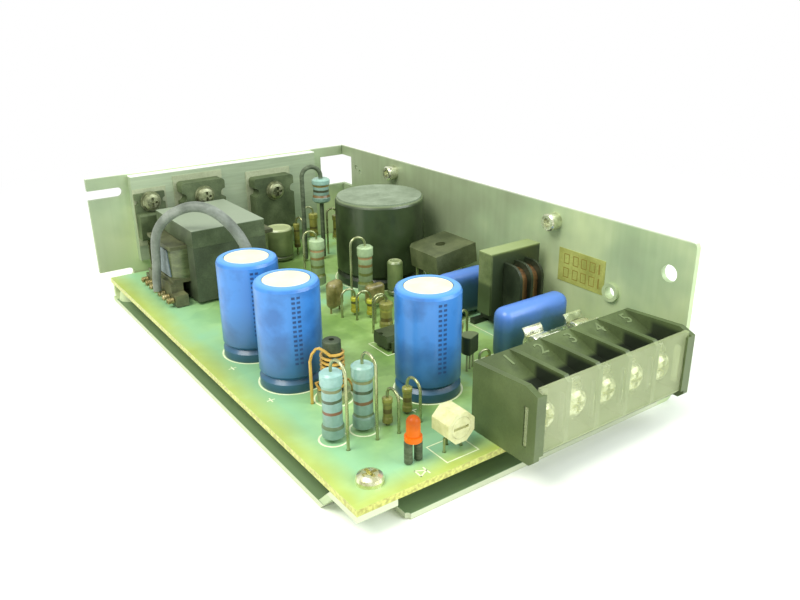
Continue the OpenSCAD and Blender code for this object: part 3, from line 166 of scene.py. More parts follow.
# Every plain finish: what the real one is, and what that gives the eye.
looks = {
    # tin-lead solder, reflowed by hand: bright, smooth and domed
    "tinLeadSolder": dict(colours=["#aeb2a8", "#d2d6cc"], patchMm=1.5, grainMm=0.4, rough=(0.22, 0.36),
                          shader={"Metallic": 0.9}),
    # zinc plate with a faint yellow cast, tumbled so its gloss is uneven
    "zincPlate": dict(colours=["#cfcca0", "#e6e4c4", "#f6f5e2"], patchMm=2, grainMm=0.4, rough=(0.16, 0.36),
                      shader={"Metallic": 0.9}),
    # nickel plate on spring brass or steel: whiter and harder than zinc
    "nickelPlate": dict(colours=["#c4c7af", "#e4e6d0", "#f6f7e8"], patchMm=2.5, grainMm=0.5,
                        rough=(0.14, 0.32), shader={"Metallic": 0.85}),
    # zinc plate gone dull, on the power devices' screws
    "dulledZinc": dict(colours=["#7f8566", "#9aa07e", "#b4b898"], patchMm=2, grainMm=0.4, rough=(0.34, 0.5),
                       shader={"Metallic": 0.85}),
    # silicone heat pad: chalky and even, with a faint print of its weave
    "siliconePad": dict(colours=["#a1aa8a", "#b0b898"], patchMm=6, grainMm=0.8, rough=(0.62, 0.76)),
    # transfer-moulded epoxy of the power devices: dark, sparkling faintly with its filler
    "mouldedEpoxy": dict(colours=["#2f3a22", "#3d4a2b", "#4c5b36"], patchMm=7, grainMm=0.4, fleck=0.35,
                         rough=(0.4, 0.56)),
    # the same epoxy with a film of dust and grease, on the devices against the end wall
    "dustyEpoxy": dict(colours=["#414f32", "#51603e", "#64734f"], patchMm=7, grainMm=0.4, fleck=0.35,
                       rough=(0.46, 0.62)),
    # the bridge's epoxy block: browner, with a faint shine
    "brickEpoxy": dict(colours=["#424b2d", "#545d3c", "#69714d"], patchMm=7, grainMm=0.4, fleck=0.35,
                       rough=(0.34, 0.5)),
    # small packages: black epoxy over bright tinned legs, with the top face painted paler as a painted
    # highlight
    "leggedEpoxy": dict(colours=["#aab183", "#bac294"], patchMm=3, grainMm=0.4, fleck=0.3, rough=(0.36, 0.5),
                        levels=[("small_transistors", "#333e27", 4.85, 4.8),
                                ("small_transistors", "#6b7850", 0.3, 0.1)]),
    # tinned copper: drawn wire, soft lines along it
    "tinnedCopper": dict(colours=["#8b9164", "#a7ad80", "#c6caa4"], patchMm=2.2, grainMm=0.4,
                         stretch=(1, 1, 0.3), rough=(0.2, 0.38), shader={"Metallic": 0.8}),
    # pressed and sintered ferrite: charcoal with tiny pores, chalky where it was ground
    "sinteredFerrite": dict(colours=["#36402c", "#445038", "#526044"], patchMm=8, grainMm=0.4, fleck=0.4,
                            rough=(0.48, 0.66)),
    # the same, varnished: greyer, with its top painted pale as a painted highlight
    "varnishedFerrite": dict(colours=["#47543a", "#566347", "#667455"], patchMm=9, grainMm=0.5, fleck=0.35,
                             rough=(0.4, 0.54), levels=[("transformer_core_i", "#8a9682", 0.25, 0.05)]),
    # moulded phenolic: brown-olive and a little streaky
    "mouldedPhenolic": dict(colours=["#4a4d34", "#5c6043", "#70754f"], patchMm=5, grainMm=0.6,
                            rough=(0.4, 0.56)),
    # varnished polyester tape: a soft gloss over slightly uneven turns
    "varnishedTape": dict(colours=["#4b5636", "#5d6843", "#727d54"], patchMm=6, grainMm=0.7,
                          stretch=(1, 1, 3), rough=(0.26, 0.44),
                          shader={"Coat Weight": 0.35, "Coat Roughness": 0.25}),
    # copper ends wrapped on the pins and drowned in solder
    "solderedWraps": dict(colours=["#7a7044", "#a2945e", "#c9bf94"], patchMm=1.6, grainMm=0.4, fleck=0.4,
                          rough=(0.26, 0.44), shader={"Metallic": 0.5}),
    # drawn aluminium can: faint lines up its wall
    "drawnAluminium": dict(colours=["#aeb4b2", "#cacfcc"], patchMm=5, grainMm=0.5, stretch=(1, 1, 0.2),
                           rough=(0.28, 0.42), shader={"Metallic": 0.85}),
    # vulcanised fibre disc: matt grey-green
    "vulcanisedFibre": dict(colours=["#78866f", "#87957e", "#95a38d"], patchMm=5, grainMm=0.6,
                            rough=(0.56, 0.7)),
    # calendered card disc: warm white with a soft nap
    "calenderedCard": dict(colours=["#d6d7ba", "#e2e3c8"], patchMm=4, grainMm=0.7, fleck=0.12,
                           rough=(0.5, 0.65)),
    # powder-coated ferrite of the choke: olive-grey, satin, with a painted highlight on its top and painted
    # shade on its front face and the lower part of its left side
    "coatedFerrite": dict(colours=["#4c5a34", "#5f6d42", "#737f52"], patchMm=7, grainMm=0.5,
                          rough=(0.3, 0.44), shader={"Coat Weight": 0.35, "Coat Roughness": 0.25},
                          levels=[("choke_core", "#93a16c", 0.4, 0.1)],
                          shadeBoxes=[("#35412a", (26.8, -31, 10), (46, -29.2, 31.3), 0.4),
                                ("#3a4728", (25, -31, 10), (27.4, -23, 23), 0.9)]),
    # moulded nylon former: near black, with a soft sheen
    "mouldedNylon": dict(colours=["#1f271a", "#2a3323", "#38422e"], patchMm=6, grainMm=0.5,
                         rough=(0.3, 0.44)),
    # glass-filled nylon: slate green with faint flow marks, and painted shade down in the wells where light
    # doesn't reach
    "glassFilledNylon": dict(colours=["#485632", "#52613a", "#5d6d42"], patchMm=12, grainMm=0.5, fleck=0.2,
                             rough=(0.36, 0.52),
                             shadeBoxes=[("#161f10", (-9.9, -84, 9), (39.5, -73.4, 24.9), 1.1)]),
    # the same nylon, painted paler on the raised figures as the highlight they catch
    "litFigureNylon": dict(colours=["#65744d", "#76865c"], patchMm=2, grainMm=0.4, rough=(0.4, 0.55)),
    # dyed fibre washer under the rod choke
    "dyedFibre": dict(colours=["#8d9a68", "#a4b07c"], patchMm=3, grainMm=0.6, rough=(0.55, 0.7)),
    # varnished glass-fibre sleeving: a knitted tube, soft black
    "glassFibreSleeving": dict(colours=["#434f39", "#57644b", "#6d7a60"], patchMm=2.5, grainMm=0.6,
                               stretch=(1, 1, 2.5), bump=0.5, fleck=0.4, rough=(0.6, 0.76)),
    # moulded white nylon of the adjuster: waxy, light goes a little way in
    "whiteNylon": dict(colours=["#c4c490", "#d2d2a2", "#dedeb4"], patchMm=3, grainMm=0.6, fleck=0.12,
                       rough=(0.34, 0.48), shader={
                           "Subsurface Weight": 0.15, "Subsurface Radius": (1, 0.9, 0.7),
                           "Subsurface Scale": 0.001}),
    # phenolic-dipped ceramic: brown, pooled at its foot
    "dippedCeramic": dict(colours=["#64602f", "#7c7542", "#958c58"], patchMm=3, grainMm=0.7,
                          rough=(0.28, 0.42), shader={"Coat Weight": 0.3, "Coat Roughness": 0.2}),
    # woven cotton tape: faded blue-grey, fuzzy
    "wovenCotton": dict(colours=["#56666c", "#687a82", "#7c8e98"], patchMm=3, grainMm=0.6, bump=0.5,
                        fleck=0.35, rough=(0.72, 0.86), shader={"Sheen Weight": 0.3}),
    # soft rubber sleeve of the lead: grey, rubbed paler in places
    "greyRubber": dict(colours=["#5a6259", "#70786f", "#8c938b"], patchMm=9, grainMm=0.8, fleck=0.28,
                       rough=(0.44, 0.62), shader={"Sheen Weight": 0.15}),
    # extruded aluminium plate: fine lines along it, cleaner and paler than the sheet; its bare top edge
    # painted near white as the highlight it catches
    "extrudedAluminium": dict(colours=["#98a88e", "#a9b89a", "#bbc8ab"], patchMm=16, grainMm=0.7,
                              stretch=(0.08, 1, 1), rough=(0.36, 0.52), fleck=0.2,
                              shader={"Metallic": 0.2}, levels=[("heat_spreader", "#fbfcf5", 0.4, 0.1)]),
    # yellow coated film: a little faded and dirty in patches
    "coatedYellowFilm": dict(colours=["#a0a456", "#b0b462", "#bcc26e"], patchMm=7, grainMm=0.6,
                             rough=(0.4, 0.58)),
    # epoxy ink on the board: a flat pale print
    "paleEpoxyInk": dict(colours=["#dfe9c0", "#f0f6da"], patchMm=2, grainMm=0.4, rough=(0.5, 0.64)),
    # dark print on the blue sleeves, worn thin in places
    "darkInk": dict(colours=["#234478", "#2f558e"], patchMm=2, grainMm=0.4, rough=(0.42, 0.56)),
    # red-brown print on the yellow film
    "brownInk": dict(colours=["#8e7c34", "#9c8a40"], patchMm=2, grainMm=0.4, rough=(0.45, 0.6)),
}
finish = {name: mottled(name, look) for name, look in looks.items()}
print("plain finishes:", len(finish))

# Rolled aluminium sheet: long soft streaks up the walls and a bare shear-cut edge on top, painted near white
# as the highlight it catches. The rims' tops carry a painted shadow of the board, the sheared edges of the
# rims and tabs are bare and painted pale as lit edges, and the end wall's free end is painted darker as
# painted shade. A band is a key, the height of its middle and its reach.
sheetLook = dict(body=[(0.36, "#acbb96"), (0.5, "#bfcba9"), (0.64, "#d3ddbe")],
                 lines=[(0.34, "#787878"), (0.66, "#888888")], cut="#fcfdf6", cutMm=(0.6, 0.02),
                 shade="#718a66", litShearedEdge="#c3caae", bandsMm=[("shade", 1.5, 0.12), ("litShearedEdge", 0.65, 0.72)],
                 tabMm=(0.75, 0.72), foldMm=6, shadedEnd="#84927a", shadedEndMm=(-37, -47), shadedEndShare=0.6,
                 streak=0.06, patchMm=34, grainMm=1.8, rough=(0.42, 0.58), metallic=0.15, bump=(0.2, 0.1))


def rolledAluminium(look):
    mat, bsdf, place = newMaterial("rolledAluminium", {"Metallic": look["metallic"]})
    boardLow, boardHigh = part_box("circuit_board")
    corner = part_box("chassis")[1]
    drawn = addNode(mat, "Mapping", {"Vector": place, "Scale": (1, 1, look["streak"])}).outputs[0]
    streaks = addNode(mat, "TexNoise", {
        "Vector": drawn, "Scale": 1 / (look["grainMm"] * mm), "Detail": 3}).outputs[0]
    clouds = addNode(mat, "TexNoise", {
        "Vector": place, "Scale": 1 / (look["patchMm"] * mm), "Detail": 4}).outputs[0]
    body = addNode(mat, "ValToRGB", {"Fac": clouds}, look["body"]).outputs[0]
    lines = addNode(mat, "ValToRGB", {"Fac": streaks}, look["lines"]).outputs[0]
    colour = addNode(mat, "Mix", {0: 0.5, 6: body, 7: lines},
                     data_type="RGBA", blend_type="OVERLAY").outputs[2]
    axes = addNode(mat, "SeparateXYZ", {"Vector": place}).outputs
    outward = addNode(mat, "MapRange", {
        "Value": axes[0], "From Min": look["shadedEndMm"][0] * mm, "From Max": look["shadedEndMm"][1] * mm,
        "To Max": look["shadedEndShare"]}).outputs[0]
    above = addNode(mat, "Math", {0: axes[2], 1: boardHigh.z}, operation="GREATER_THAN").outputs[0]
    clear = 1.0  # away from the folds of the two walls
    for axis in (0, 1):
        before = addNode(mat, "Math", {0: axes[axis], 1: corner[axis] - look["foldMm"] * mm},
                         operation="LESS_THAN").outputs[0]
        clear = addNode(mat, "Math", {0: clear, 1: before}, operation="MULTIPLY").outputs[0]
    # painted shade on the end wall's free end above the board, a painted shadow on the rims' tops and painted
    # highlights along the sheared edges, each band away from the folds
    layers = [("shadedEnd", outward, above)]
    bands = look["bandsMm"] + [("litShearedEdge", boardLow.z / mm - look["tabMm"][0], look["tabMm"][1])]
    for key, middle, reach in bands:
        level = addNode(mat, "Math", {0: axes[2], 1: middle * mm, 2: reach * mm},
                        operation="COMPARE").outputs[0]
        layers.append((key, level, clear))
    for key, one, other in layers:
        share = addNode(mat, "Math", {0: one, 1: other}, operation="MULTIPLY").outputs[0]
        colour = addNode(mat, "Mix", {0: share, 6: colour, 7: lin(look[key])}, data_type="RGBA").outputs[2]
    # painted highlight: the top cut edge goes near white
    cut = addNode(mat, "MapRange", {
        "Value": axes[2], "From Min": corner.z - look["cutMm"][0] * mm,
        "From Max": corner.z - look["cutMm"][1] * mm}).outputs[0]
    colour = addNode(mat, "Mix", {0: cut, 6: colour, 7: lin(look["cut"])}, data_type="RGBA").outputs[2]
    wire(mat, bsdf, colour, clouds, look["rough"], streaks, look["bump"], wornFrom=middling)
    return mat


# Solder-masked paper laminate: copper fields under the skin show darker and bare laminate paler.
# The mask is yellow along the two open edges, with a cool band inside that, and the sawn edge is yellow.
boardLook = dict(field=[(0.0, "#6c8f4c"), (0.45, "#84a95a"), (0.62, "#a6c97c")],
                 cast=[(0.36, "#6c8f4c"), (0.47, "#84a95a"), (0.56, "#a6c97c"), (0.66, "#97cda6")],
                 band=[(0.05, "#b9c25c"), (0.3, "#97cda6")], laminate=[(0.36, "#9c9a45"), (0.62, "#c6cb68")],
                 castShare=0.78, bandMm=(2, 26), bandShare=0.68, shakeMm=5, fieldMm=15, patchMm=26,
                 fibreMm=0.8, skinMm=(0.12, 0.02), rough=(0.3, 0.5), bump=(0.12, 0.1))


def solderMaskLaminate(look):
    mat, bsdf, place = newMaterial("solderMaskLaminate", {"Coat Weight": 0.35, "Coat Roughness": 0.18})
    low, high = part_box("circuit_board")
    axes = addNode(mat, "SeparateXYZ", {"Vector": place}).outputs
    cloud = addNode(mat, "TexNoise", {
        "Vector": place, "Scale": 1 / (look["patchMm"] * mm), "Detail": 4, "Roughness": 0.62}).outputs[0]
    # the copper fields keep square corners, as drawn artwork does
    cells = addNode(mat, "TexVoronoi", {
        "Vector": place, "Scale": 1 / (look["fieldMm"] * mm), "Randomness": 0.9}, distance="CHEBYCHEV")
    copper = addNode(mat, "SeparateColor", {"Color": cells.outputs["Color"]}).outputs[0]
    field = addNode(mat, "ValToRGB", {"Fac": copper}, look["field"]).outputs[0]
    cast = addNode(mat, "ValToRGB", {"Fac": cloud}, look["cast"]).outputs[0]
    skin = addNode(mat, "Mix", {0: look["castShare"], 6: field, 7: cast}, data_type="RGBA").outputs[2]
    # how far in from the nearer open edge, shaken by the clouds
    inX, inY = (addNode(mat, "Math", {0: axes[axis], 1: low[axis]}, operation="SUBTRACT").outputs[0]
                for axis in (0, 1))
    nearest = addNode(mat, "Math", {0: inX, 1: inY}, operation="MINIMUM").outputs[0]
    shaken = addNode(mat, "Math", {0: cloud, 1: look["shakeMm"] * mm, 2: nearest},
                     operation="MULTIPLY_ADD").outputs[0]
    inward = addNode(mat, "MapRange", {
        "Value": shaken, "From Min": look["bandMm"][0] * mm, "From Max": look["bandMm"][1] * mm}).outputs[0]
    band = addNode(mat, "ValToRGB", {"Fac": inward}, look["band"]).outputs[0]
    share = addNode(mat, "MapRange", {
        "Value": inward, "From Min": 0.35, "To Min": look["bandShare"], "To Max": 0.0}).outputs[0]
    skin = addNode(mat, "Mix", {0: share, 6: skin, 7: band}, data_type="RGBA").outputs[2]
    onTop = addNode(mat, "MapRange", {
        "Value": axes[2], "From Min": high.z - look["skinMm"][0] * mm,
        "From Max": high.z - look["skinMm"][1] * mm}).outputs[0]
    strands = addNode(mat, "TexNoise", {
        "Vector": place, "Scale": 1 / (look["fibreMm"] * mm), "Detail": 3}).outputs[0]
    laminate = addNode(mat, "ValToRGB", {"Fac": strands}, look["laminate"]).outputs[0]
    colour = addNode(mat, "Mix", {0: onTop, 6: laminate, 7: skin}, data_type="RGBA").outputs[2]
    wire(mat, bsdf, colour, cloud, look["rough"], strands, look["bump"])
    return mat


# Shrink sleeves on the round capacitors: PVC drawn tight, with a paler rolled shoulder at the top, partly the
# sleeve's own stretched edge and partly a painted highlight, and a foot painted darker over footTall of the
# height as painted shade and the green reflection of the board.
sleeveSkin = dict(wanderMm=8, rippleMm=3, footTall=0.6, footShare=0.9, bump=(0.15, 0.2))
sleeveLooks = {
    "blueShrinkSleeve": dict(foot="#1c4444", low="#2b66ae", mid="#3a7fce", shoulder="#5598e2",
                             node="capacitor_sleeves", shoulderMm=0.6, rough=0.38),
    "blackShrinkSleeve": dict(foot="#1c2712", low="#232f18", mid="#334224", shoulder="#7d8c66",
                              node="bulk_sleeve", shoulderMm=0.8, rough=0.38),
    "oliveShrinkSleeve": dict(foot="#4a5936", low="#5c6c42", mid="#7b8a58", shoulder="#c6d0a0",
                              node="small_electrolytics", shoulderMm=0.8, rough=0.36),
}


def shrinkSleeve(name, look):
    mat, bsdf, place = newMaterial(name, {
        "Roughness": look["rough"], "IOR": 1.53, "Coat Weight": 0.25, "Coat Roughness": 0.15})
    bottom, top = (corner.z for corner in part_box(look["node"]))
    height = addNode(mat, "SeparateXYZ", {"Vector": place}).outputs["Z"]
    # the shoulder: partly painted highlight on the rolled top edge
    shoulder = addNode(mat, "MapRange", {
        "Value": height, "From Min": top - look["shoulderMm"] * mm, "From Max": top}).outputs[0]
    wander = addNode(mat, "TexNoise", {
        "Vector": place, "Scale": 1 / (sleeveSkin["wanderMm"] * mm), "Detail": 4}).outputs[0]
    drawn = addNode(mat, "ValToRGB", {"Fac": wander}, [(0.36, look["low"]), (0.56, look["mid"])]).outputs[0]
    # the foot: painted shade and painted green reflection of the board
    foot = addNode(mat, "MapRange", {
        "Value": height, "From Min": bottom, "From Max": bottom + (top - bottom) * sleeveSkin["footTall"],
        "To Min": sleeveSkin["footShare"], "To Max": 0.0}).outputs[0]
    body = addNode(mat, "Mix", {0: foot, 6: drawn, 7: lin(look["foot"])}, data_type="RGBA").outputs[2]
    colour = addNode(mat, "Mix", {0: shoulder, 6: body, 7: lin(look["shoulder"])},
                     data_type="RGBA").outputs[2]
    ripple = addNode(mat, "TexNoise", {
        "Vector": place, "Scale": 1 / (sleeveSkin["rippleMm"] * mm), "Detail": 2}).outputs[0]
    wire(mat, bsdf, colour, relief=ripple, bump=sleeveSkin["bump"])
    return mat


# Lacquered ceramic with painted bands, each at a share of the body's length from its foot.
# Painted shade darkens the foot and painted light pales the upper end: foot, waist and crown.
lacquerLook = dict(wobbleMm=2.5, shakeMm=0.4, speckMm=1.1, speck=[(0.34, "#666666"), (0.66, "#9a9a9a")],
                   speckShare=0.4, ends=("#5e684a", "#848a82", "#b2bab8"), endsAt=(0.0, 0.55, 0.95),
                   endsShare=0.55, rough=(0.26, 0.44), bump=(0.2, 0.2))
bandLooks = {
    "power_resistor_1": dict(body="#a4c6c4", bands=[
        (0.20, 0.05, "#7c9470"), (0.42, 0.05, "#a06a50"), (0.60, 0.05, "#56694f"), (0.76, 0.05, "#8c8f66")]),
    "power_resistor_2": dict(body="#9fc1ba", bands=[
        (0.24, 0.04, "#7f956c"), (0.44, 0.05, "#956a48"), (0.61, 0.05, "#4f6247"), (0.77, 0.05, "#8f9260")]),
    "bleeder_resistors": dict(body="#9cb08a", ends=("#5e6a30", "#8a9274", "#f2f5f2"), bands=[
        (0.24, 0.06, "#8f984c"), (0.43, 0.06, "#7c8648"), (0.61, 0.06, "#957c4c"), (0.78, 0.05, "#b08c68")]),
    "raised_resistor": dict(body="#a4c4bc", bands=[
        (0.3, 0.1, "#9c7c4d"), (0.52, 0.1, "#5a6149"), (0.74, 0.09, "#a38f55")]),
    "small_resistors": dict(body="#a5a250", bands=[
        (0.24, 0.08, "#7b6c36"), (0.45, 0.09, "#bdba58"), (0.64, 0.06, "#6e6636")]),
    "signal_diodes": dict(body="#c6c238", bands=[(0.72, 0.16, "#5c5a2c")]),
}


def bandedLacquer(node, look):
    # the parts of one node stand at one height, so the bands are read off the node's own box
    mat, bsdf, place = newMaterial(node + "Lacquer", {"Coat Weight": 0.4, "Coat Roughness": 0.2})
    low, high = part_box(node)
    height = addNode(mat, "SeparateXYZ", {"Vector": place}).outputs["Z"]
    wobble = addNode(mat, "TexNoise", {
        "Vector": place, "Scale": 1 / (lacquerLook["wobbleMm"] * mm), "Detail": 2}).outputs[0]
    shaken = addNode(mat, "Math", {0: wobble, 1: lacquerLook["shakeMm"] * mm, 2: height},
                     operation="MULTIPLY_ADD").outputs[0]
    up = addNode(mat, "MapRange", {"Value": shaken, "From Min": low.z, "From Max": high.z}).outputs[0]
    stops = [(0.0, look["body"])]
    for middle, width, colour in look["bands"]:
        stops += [(middle - width / 2, colour), (middle + width / 2, look["body"])]
    painted = addNode(mat, "ValToRGB", {"Fac": up}, stops)
    painted.color_ramp.interpolation = "CONSTANT"
    speck = addNode(mat, "TexNoise", {
        "Vector": place, "Scale": 1 / (lacquerLook["speckMm"] * mm), "Detail": 3}).outputs[0]
    shade = addNode(mat, "ValToRGB", {"Fac": speck}, lacquerLook["speck"]).outputs[0]
    flecked = addNode(mat, "Mix", {0: lacquerLook["speckShare"], 6: painted.outputs[0], 7: shade},
                      data_type="RGBA", blend_type="OVERLAY").outputs[2]
    # painted shade at the foot and painted light towards the crown, laid over the bands
    ends = list(zip(lacquerLook["endsAt"], look.get("ends", lacquerLook["ends"])))
    paintedLight = addNode(mat, "ValToRGB", {"Fac": up}, ends).outputs[0]
    colour = addNode(mat, "Mix", {0: lacquerLook["endsShare"], 6: flecked, 7: paintedLight},
                     data_type="RGBA", blend_type="OVERLAY").outputs[2]
    wire(mat, bsdf, colour, speck, lacquerLook["rough"], wobble, lacquerLook["bump"])
    return mat


# Powder-dipped epoxy of the film capacitors: a blue skin with an orange-peel gloss. The skin is painted
# darker and greyer low down as painted shade, and paler towards the top as painted light from above.
filmLook = dict(skin=[(0.2, "#37595a"), (0.66, "#3e6782"), (0.86, "#5482d4")], shadeToLight=(-0.17, 0.83),
                wander=0.35, patchMm=9, peelMm=1.6, rough=(0.3, 0.5), bump=(0.3, 0.2))


def dippedEpoxy(look):
    mat, bsdf, place = newMaterial("dippedBlueEpoxy", {"Coat Weight": 0.3, "Coat Roughness": 0.25})
    wander = addNode(mat, "TexNoise", {
        "Vector": place, "Scale": 1 / (look["patchMm"] * mm), "Detail": 4}).outputs[0]
    low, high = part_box("line_film_capacitor")
    height = addNode(mat, "SeparateXYZ", {"Vector": place}).outputs["Z"]
    # painted light and shade: paler towards the top, darker and greyer below
    up = addNode(mat, "MapRange", {
        "Value": height, "From Min": low.z, "From Max": high.z,
        "To Min": look["shadeToLight"][0], "To Max": look["shadeToLight"][1]}).outputs[0]
    shadedToLit = addNode(mat, "Math", {0: wander, 1: look["wander"], 2: up}, operation="MULTIPLY_ADD").outputs[0]
    colour = addNode(mat, "ValToRGB", {"Fac": shadedToLit}, look["skin"]).outputs[0]
    peel = addNode(mat, "TexNoise", {
        "Vector": place, "Scale": 1 / (look["peelMm"] * mm), "Detail": 2}).outputs[0]
    wire(mat, bsdf, colour, wander, look["rough"], peel, look["bump"])
    return mat


# Enamelled copper: laid turns for the choke, one heavy wire for the rod. Each turn is painted lighter and
# darker across it as painted light and shade, with patches of painted glint. One light and dark turn of the
# pattern takes 0.31 of waveMm.
wireLooks = {
    "enamelledCopper": dict(turns=[(0.1, "#241d12"), (0.6, "#644a28")], paintedGlint="#a0784a", waveMm=5.67,
                            shadeMm=3, metallic=0.5, rough=(0.2, 0.4), bump=(0.6, 0.3)),
    "orangeEnamel": dict(turns=[(0.1, "#a07a2a"), (0.6, "#c8963a")], paintedGlint="#ecc468", waveMm=18.9,
                         shadeMm=3, metallic=0.3, rough=(0.2, 0.4), bump=(0.1, 0.3)),
}


def enamelledWire(name, look):
    mat, bsdf, place = newMaterial(name, {
        "Metallic": look["metallic"], "Coat Weight": 0.5, "Coat Roughness": 0.15})
    turns = addNode(mat, "TexWave", {
        "Vector": place, "Scale": 1 / (look["waveMm"] * mm), "Distortion": 0.8, "Detail": 1},
                    wave_type="BANDS", bands_direction="Y").outputs["Fac"]
    shade = addNode(mat, "TexNoise", {
        "Vector": place, "Scale": 1 / (look["shadeMm"] * mm), "Detail": 3}).outputs[0]
    # painted light and shade across each turn, with patches of painted glint
    laid = addNode(mat, "ValToRGB", {"Fac": turns}, look["turns"]).outputs[0]
    colour = addNode(mat, "Mix", {0: shade, 6: laid, 7: lin(look["paintedGlint"])}, data_type="RGBA").outputs[2]
    wire(mat, bsdf, colour, shade, look["rough"], turns, look["bump"])
    return mat


# Clear parts: the cover is polycarbonate scuffed to a haze, the fuse a clean glass tube.
clearLooks = {
    "scuffedPolycarbonate": dict(tints=[(0.34, "#bdca98"), (0.66, "#cfd9ac")], rough=(0.28, 0.42), ior=1.4,
                                 clear=0.0, film=0.29, hazeMm=13, scuffMm=1.6, bump=(0.01, 0.1)),
    "clearGlass": dict(tints=[(0.34, "#eaf0e4"), (0.66, "#f8fbf4")], rough=(0.02, 0.06), ior=1.5,
                       clear=0.95, film=0.6, hazeMm=13, scuffMm=1.6, bump=(0.03, 0.1)),
}


def clearStuff(name, look):
    mat, bsdf, place = newMaterial(name, {
        "Transmission Weight": look["clear"], "IOR": look["ior"], "Alpha": look["film"]})
    haze = addNode(mat, "TexNoise", {
        "Vector": place, "Scale": 1 / (look["hazeMm"] * mm), "Detail": 5}).outputs[0]
    tint = addNode(mat, "ValToRGB", {"Fac": haze}, look["tints"]).outputs[0]
    scuff = addNode(mat, "TexNoise", {
        "Vector": place, "Scale": 1 / (look["scuffMm"] * mm), "Detail": 3}).outputs[0]
    wire(mat, bsdf, tint, haze, look["rough"], scuff, look["bump"], wornFrom=middling)
    return mat


# Tinted cast epoxy of the lamp: orange at the foot, redder towards the crown.
lensLook = dict(tint=[(0.2, "#d96a10"), (0.6, "#cf6406"), (1.0, "#a84c06")], cloudMm=1.4, cloudy=0.3)


def castLens(look):
    mat, bsdf, place = newMaterial("castEpoxyLens", {
        "Roughness": 0.4, "Specular IOR Level": 0.25, "Subsurface Weight": 0.12,
        "Subsurface Radius": (1.0, 0.35, 0.12), "Subsurface Scale": 0.002})
    low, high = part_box("indicator_led")
    height = addNode(mat, "SeparateXYZ", {"Vector": place}).outputs["Z"]
    cloud = addNode(mat, "TexNoise", {
        "Vector": place, "Scale": 1 / (look["cloudMm"] * mm), "Detail": 2}).outputs[0]
    up = addNode(mat, "MapRange", {"Value": height, "From Min": low.z, "From Max": high.z}).outputs[0]
    mixed = addNode(mat, "Math", {0: cloud, 1: look["cloudy"], 2: up}, operation="MULTIPLY_ADD").outputs[0]
    wire(mat, bsdf, addNode(mat, "ValToRGB", {"Fac": mixed}, look["tint"]).outputs[0])
    return mat


finish["rolledAluminium"] = rolledAluminium(sheetLook)
finish["solderMaskLaminate"] = solderMaskLaminate(boardLook)
finish["dippedBlueEpoxy"] = dippedEpoxy(filmLook)
finish["castEpoxyLens"] = castLens(lensLook)
for makeFinish, itsLooks in ((shrinkSleeve, sleeveLooks), (bandedLacquer, bandLooks),
                             (enamelledWire, wireLooks), (clearStuff, clearLooks)):
    for name, look in itsLooks.items():
        finish[name] = makeFinish(name, look)
print("all finishes:", len(finish))

# What each node of the frame is made of; a banded part has a finish of its own name
nodeFinish = {
    "chassis": "rolledAluminium", "circuit_board": "solderMaskLaminate", "solder_joints": "tinLeadSolder",
    "board_screws": "zincPlate", "cover_nuts": "nickelPlate", "input_label": "coatedYellowFilm",
    "heat_spreader": "extrudedAluminium", "insulating_pads": "siliconePad",
    "switching_transistor": "dustyEpoxy", "output_rectifier": "dustyEpoxy",
    "start_transistor": "dustyEpoxy", "device_leads": "tinnedCopper", "device_screws": "dulledZinc",
    "transformer_core_e": "sinteredFerrite", "transformer_core_i": "varnishedFerrite",
    "transformer_bobbin": "mouldedPhenolic", "transformer_winding": "varnishedTape",
    "transformer_pins": "solderedWraps", "winding_tape": "wovenCotton", "lead_sleeve": "greyRubber",
    "output_capacitor_1": "drawnAluminium", "output_capacitor_2": "drawnAluminium",
    "output_capacitor_3": "drawnAluminium", "capacitor_sleeves": "blueShrinkSleeve",
    "capacitor_discs": "calenderedCard", "bulk_capacitor": "drawnAluminium",
    "bulk_sleeve": "blackShrinkSleeve", "bulk_disc": "vulcanisedFibre", "bridge_rectifier": "brickEpoxy",
    "choke_core": "coatedFerrite", "choke_bobbin": "mouldedNylon", "choke_windings": "enamelledCopper",
    "line_film_capacitor": "dippedBlueEpoxy", "rear_film_capacitor": "dippedBlueEpoxy",
    "fuse_clips": "nickelPlate", "fuse_caps": "nickelPlate", "fuse_glass": "clearGlass",
    "terminal_block": "glassFilledNylon", "terminal_plates": "nickelPlate", "terminal_screws": "zincPlate",
    "terminal_cover": "scuffedPolycarbonate", "rod_ferrite": "sinteredFerrite", "rod_winding": "orangeEnamel",
    "rod_seat": "dyedFibre", "component_leads": "tinnedCopper", "lead_sleeving": "glassFibreSleeving",
    "indicator_led": "castEpoxyLens", "trimmer_body": "whiteNylon", "trimmer_rotor": "whiteNylon",
    "small_electrolytics": "oliveShrinkSleeve", "disc_capacitors": "dippedCeramic",
    "optocoupler": "mouldedEpoxy", "small_transistors": "leggedEpoxy",
}
for name, obj in nodes.items():
    obj.data.materials.clear()
    obj.data.materials.append(finish[nodeFinish.get(name, name)])
print("finishes on the frame")


def addPiece(name, shape, material):
    # a finished bmesh becomes a piece that rides with the frame
    mesh = bpy.data.meshes.new(name)
    shape.to_mesh(mesh)
    shape.free()
    mesh.materials.append(finish[material])
    piece = bpy.data.objects.new(name, mesh)
    bpy.context.scene.collection.objects.link(piece)
    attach(piece, "frame")
    return piece


def middleOf(node):
    low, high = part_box(node)
    return (low + high) / 2


def addPlate(shape, centre, wide, deep, turn=Matrix()):
    # a flat oblong face about a point
    size = Matrix.Diagonal((wide / 2, deep / 2, 1, 1))
    return bmesh.ops.create_grid(shape, x_segments=1, y_segments=1, size=1,
                                 matrix=Matrix.Translation(centre) @ turn @ size)["verts"][0].link_faces[0]


def openPlate(shape, face, width):
    # a line round a face's edge is all that stays of it
    bmesh.ops.inset_individual(shape, faces=[face], thickness=width)
    bmesh.ops.delete(shape, geom=[face], context="FACES_ONLY")


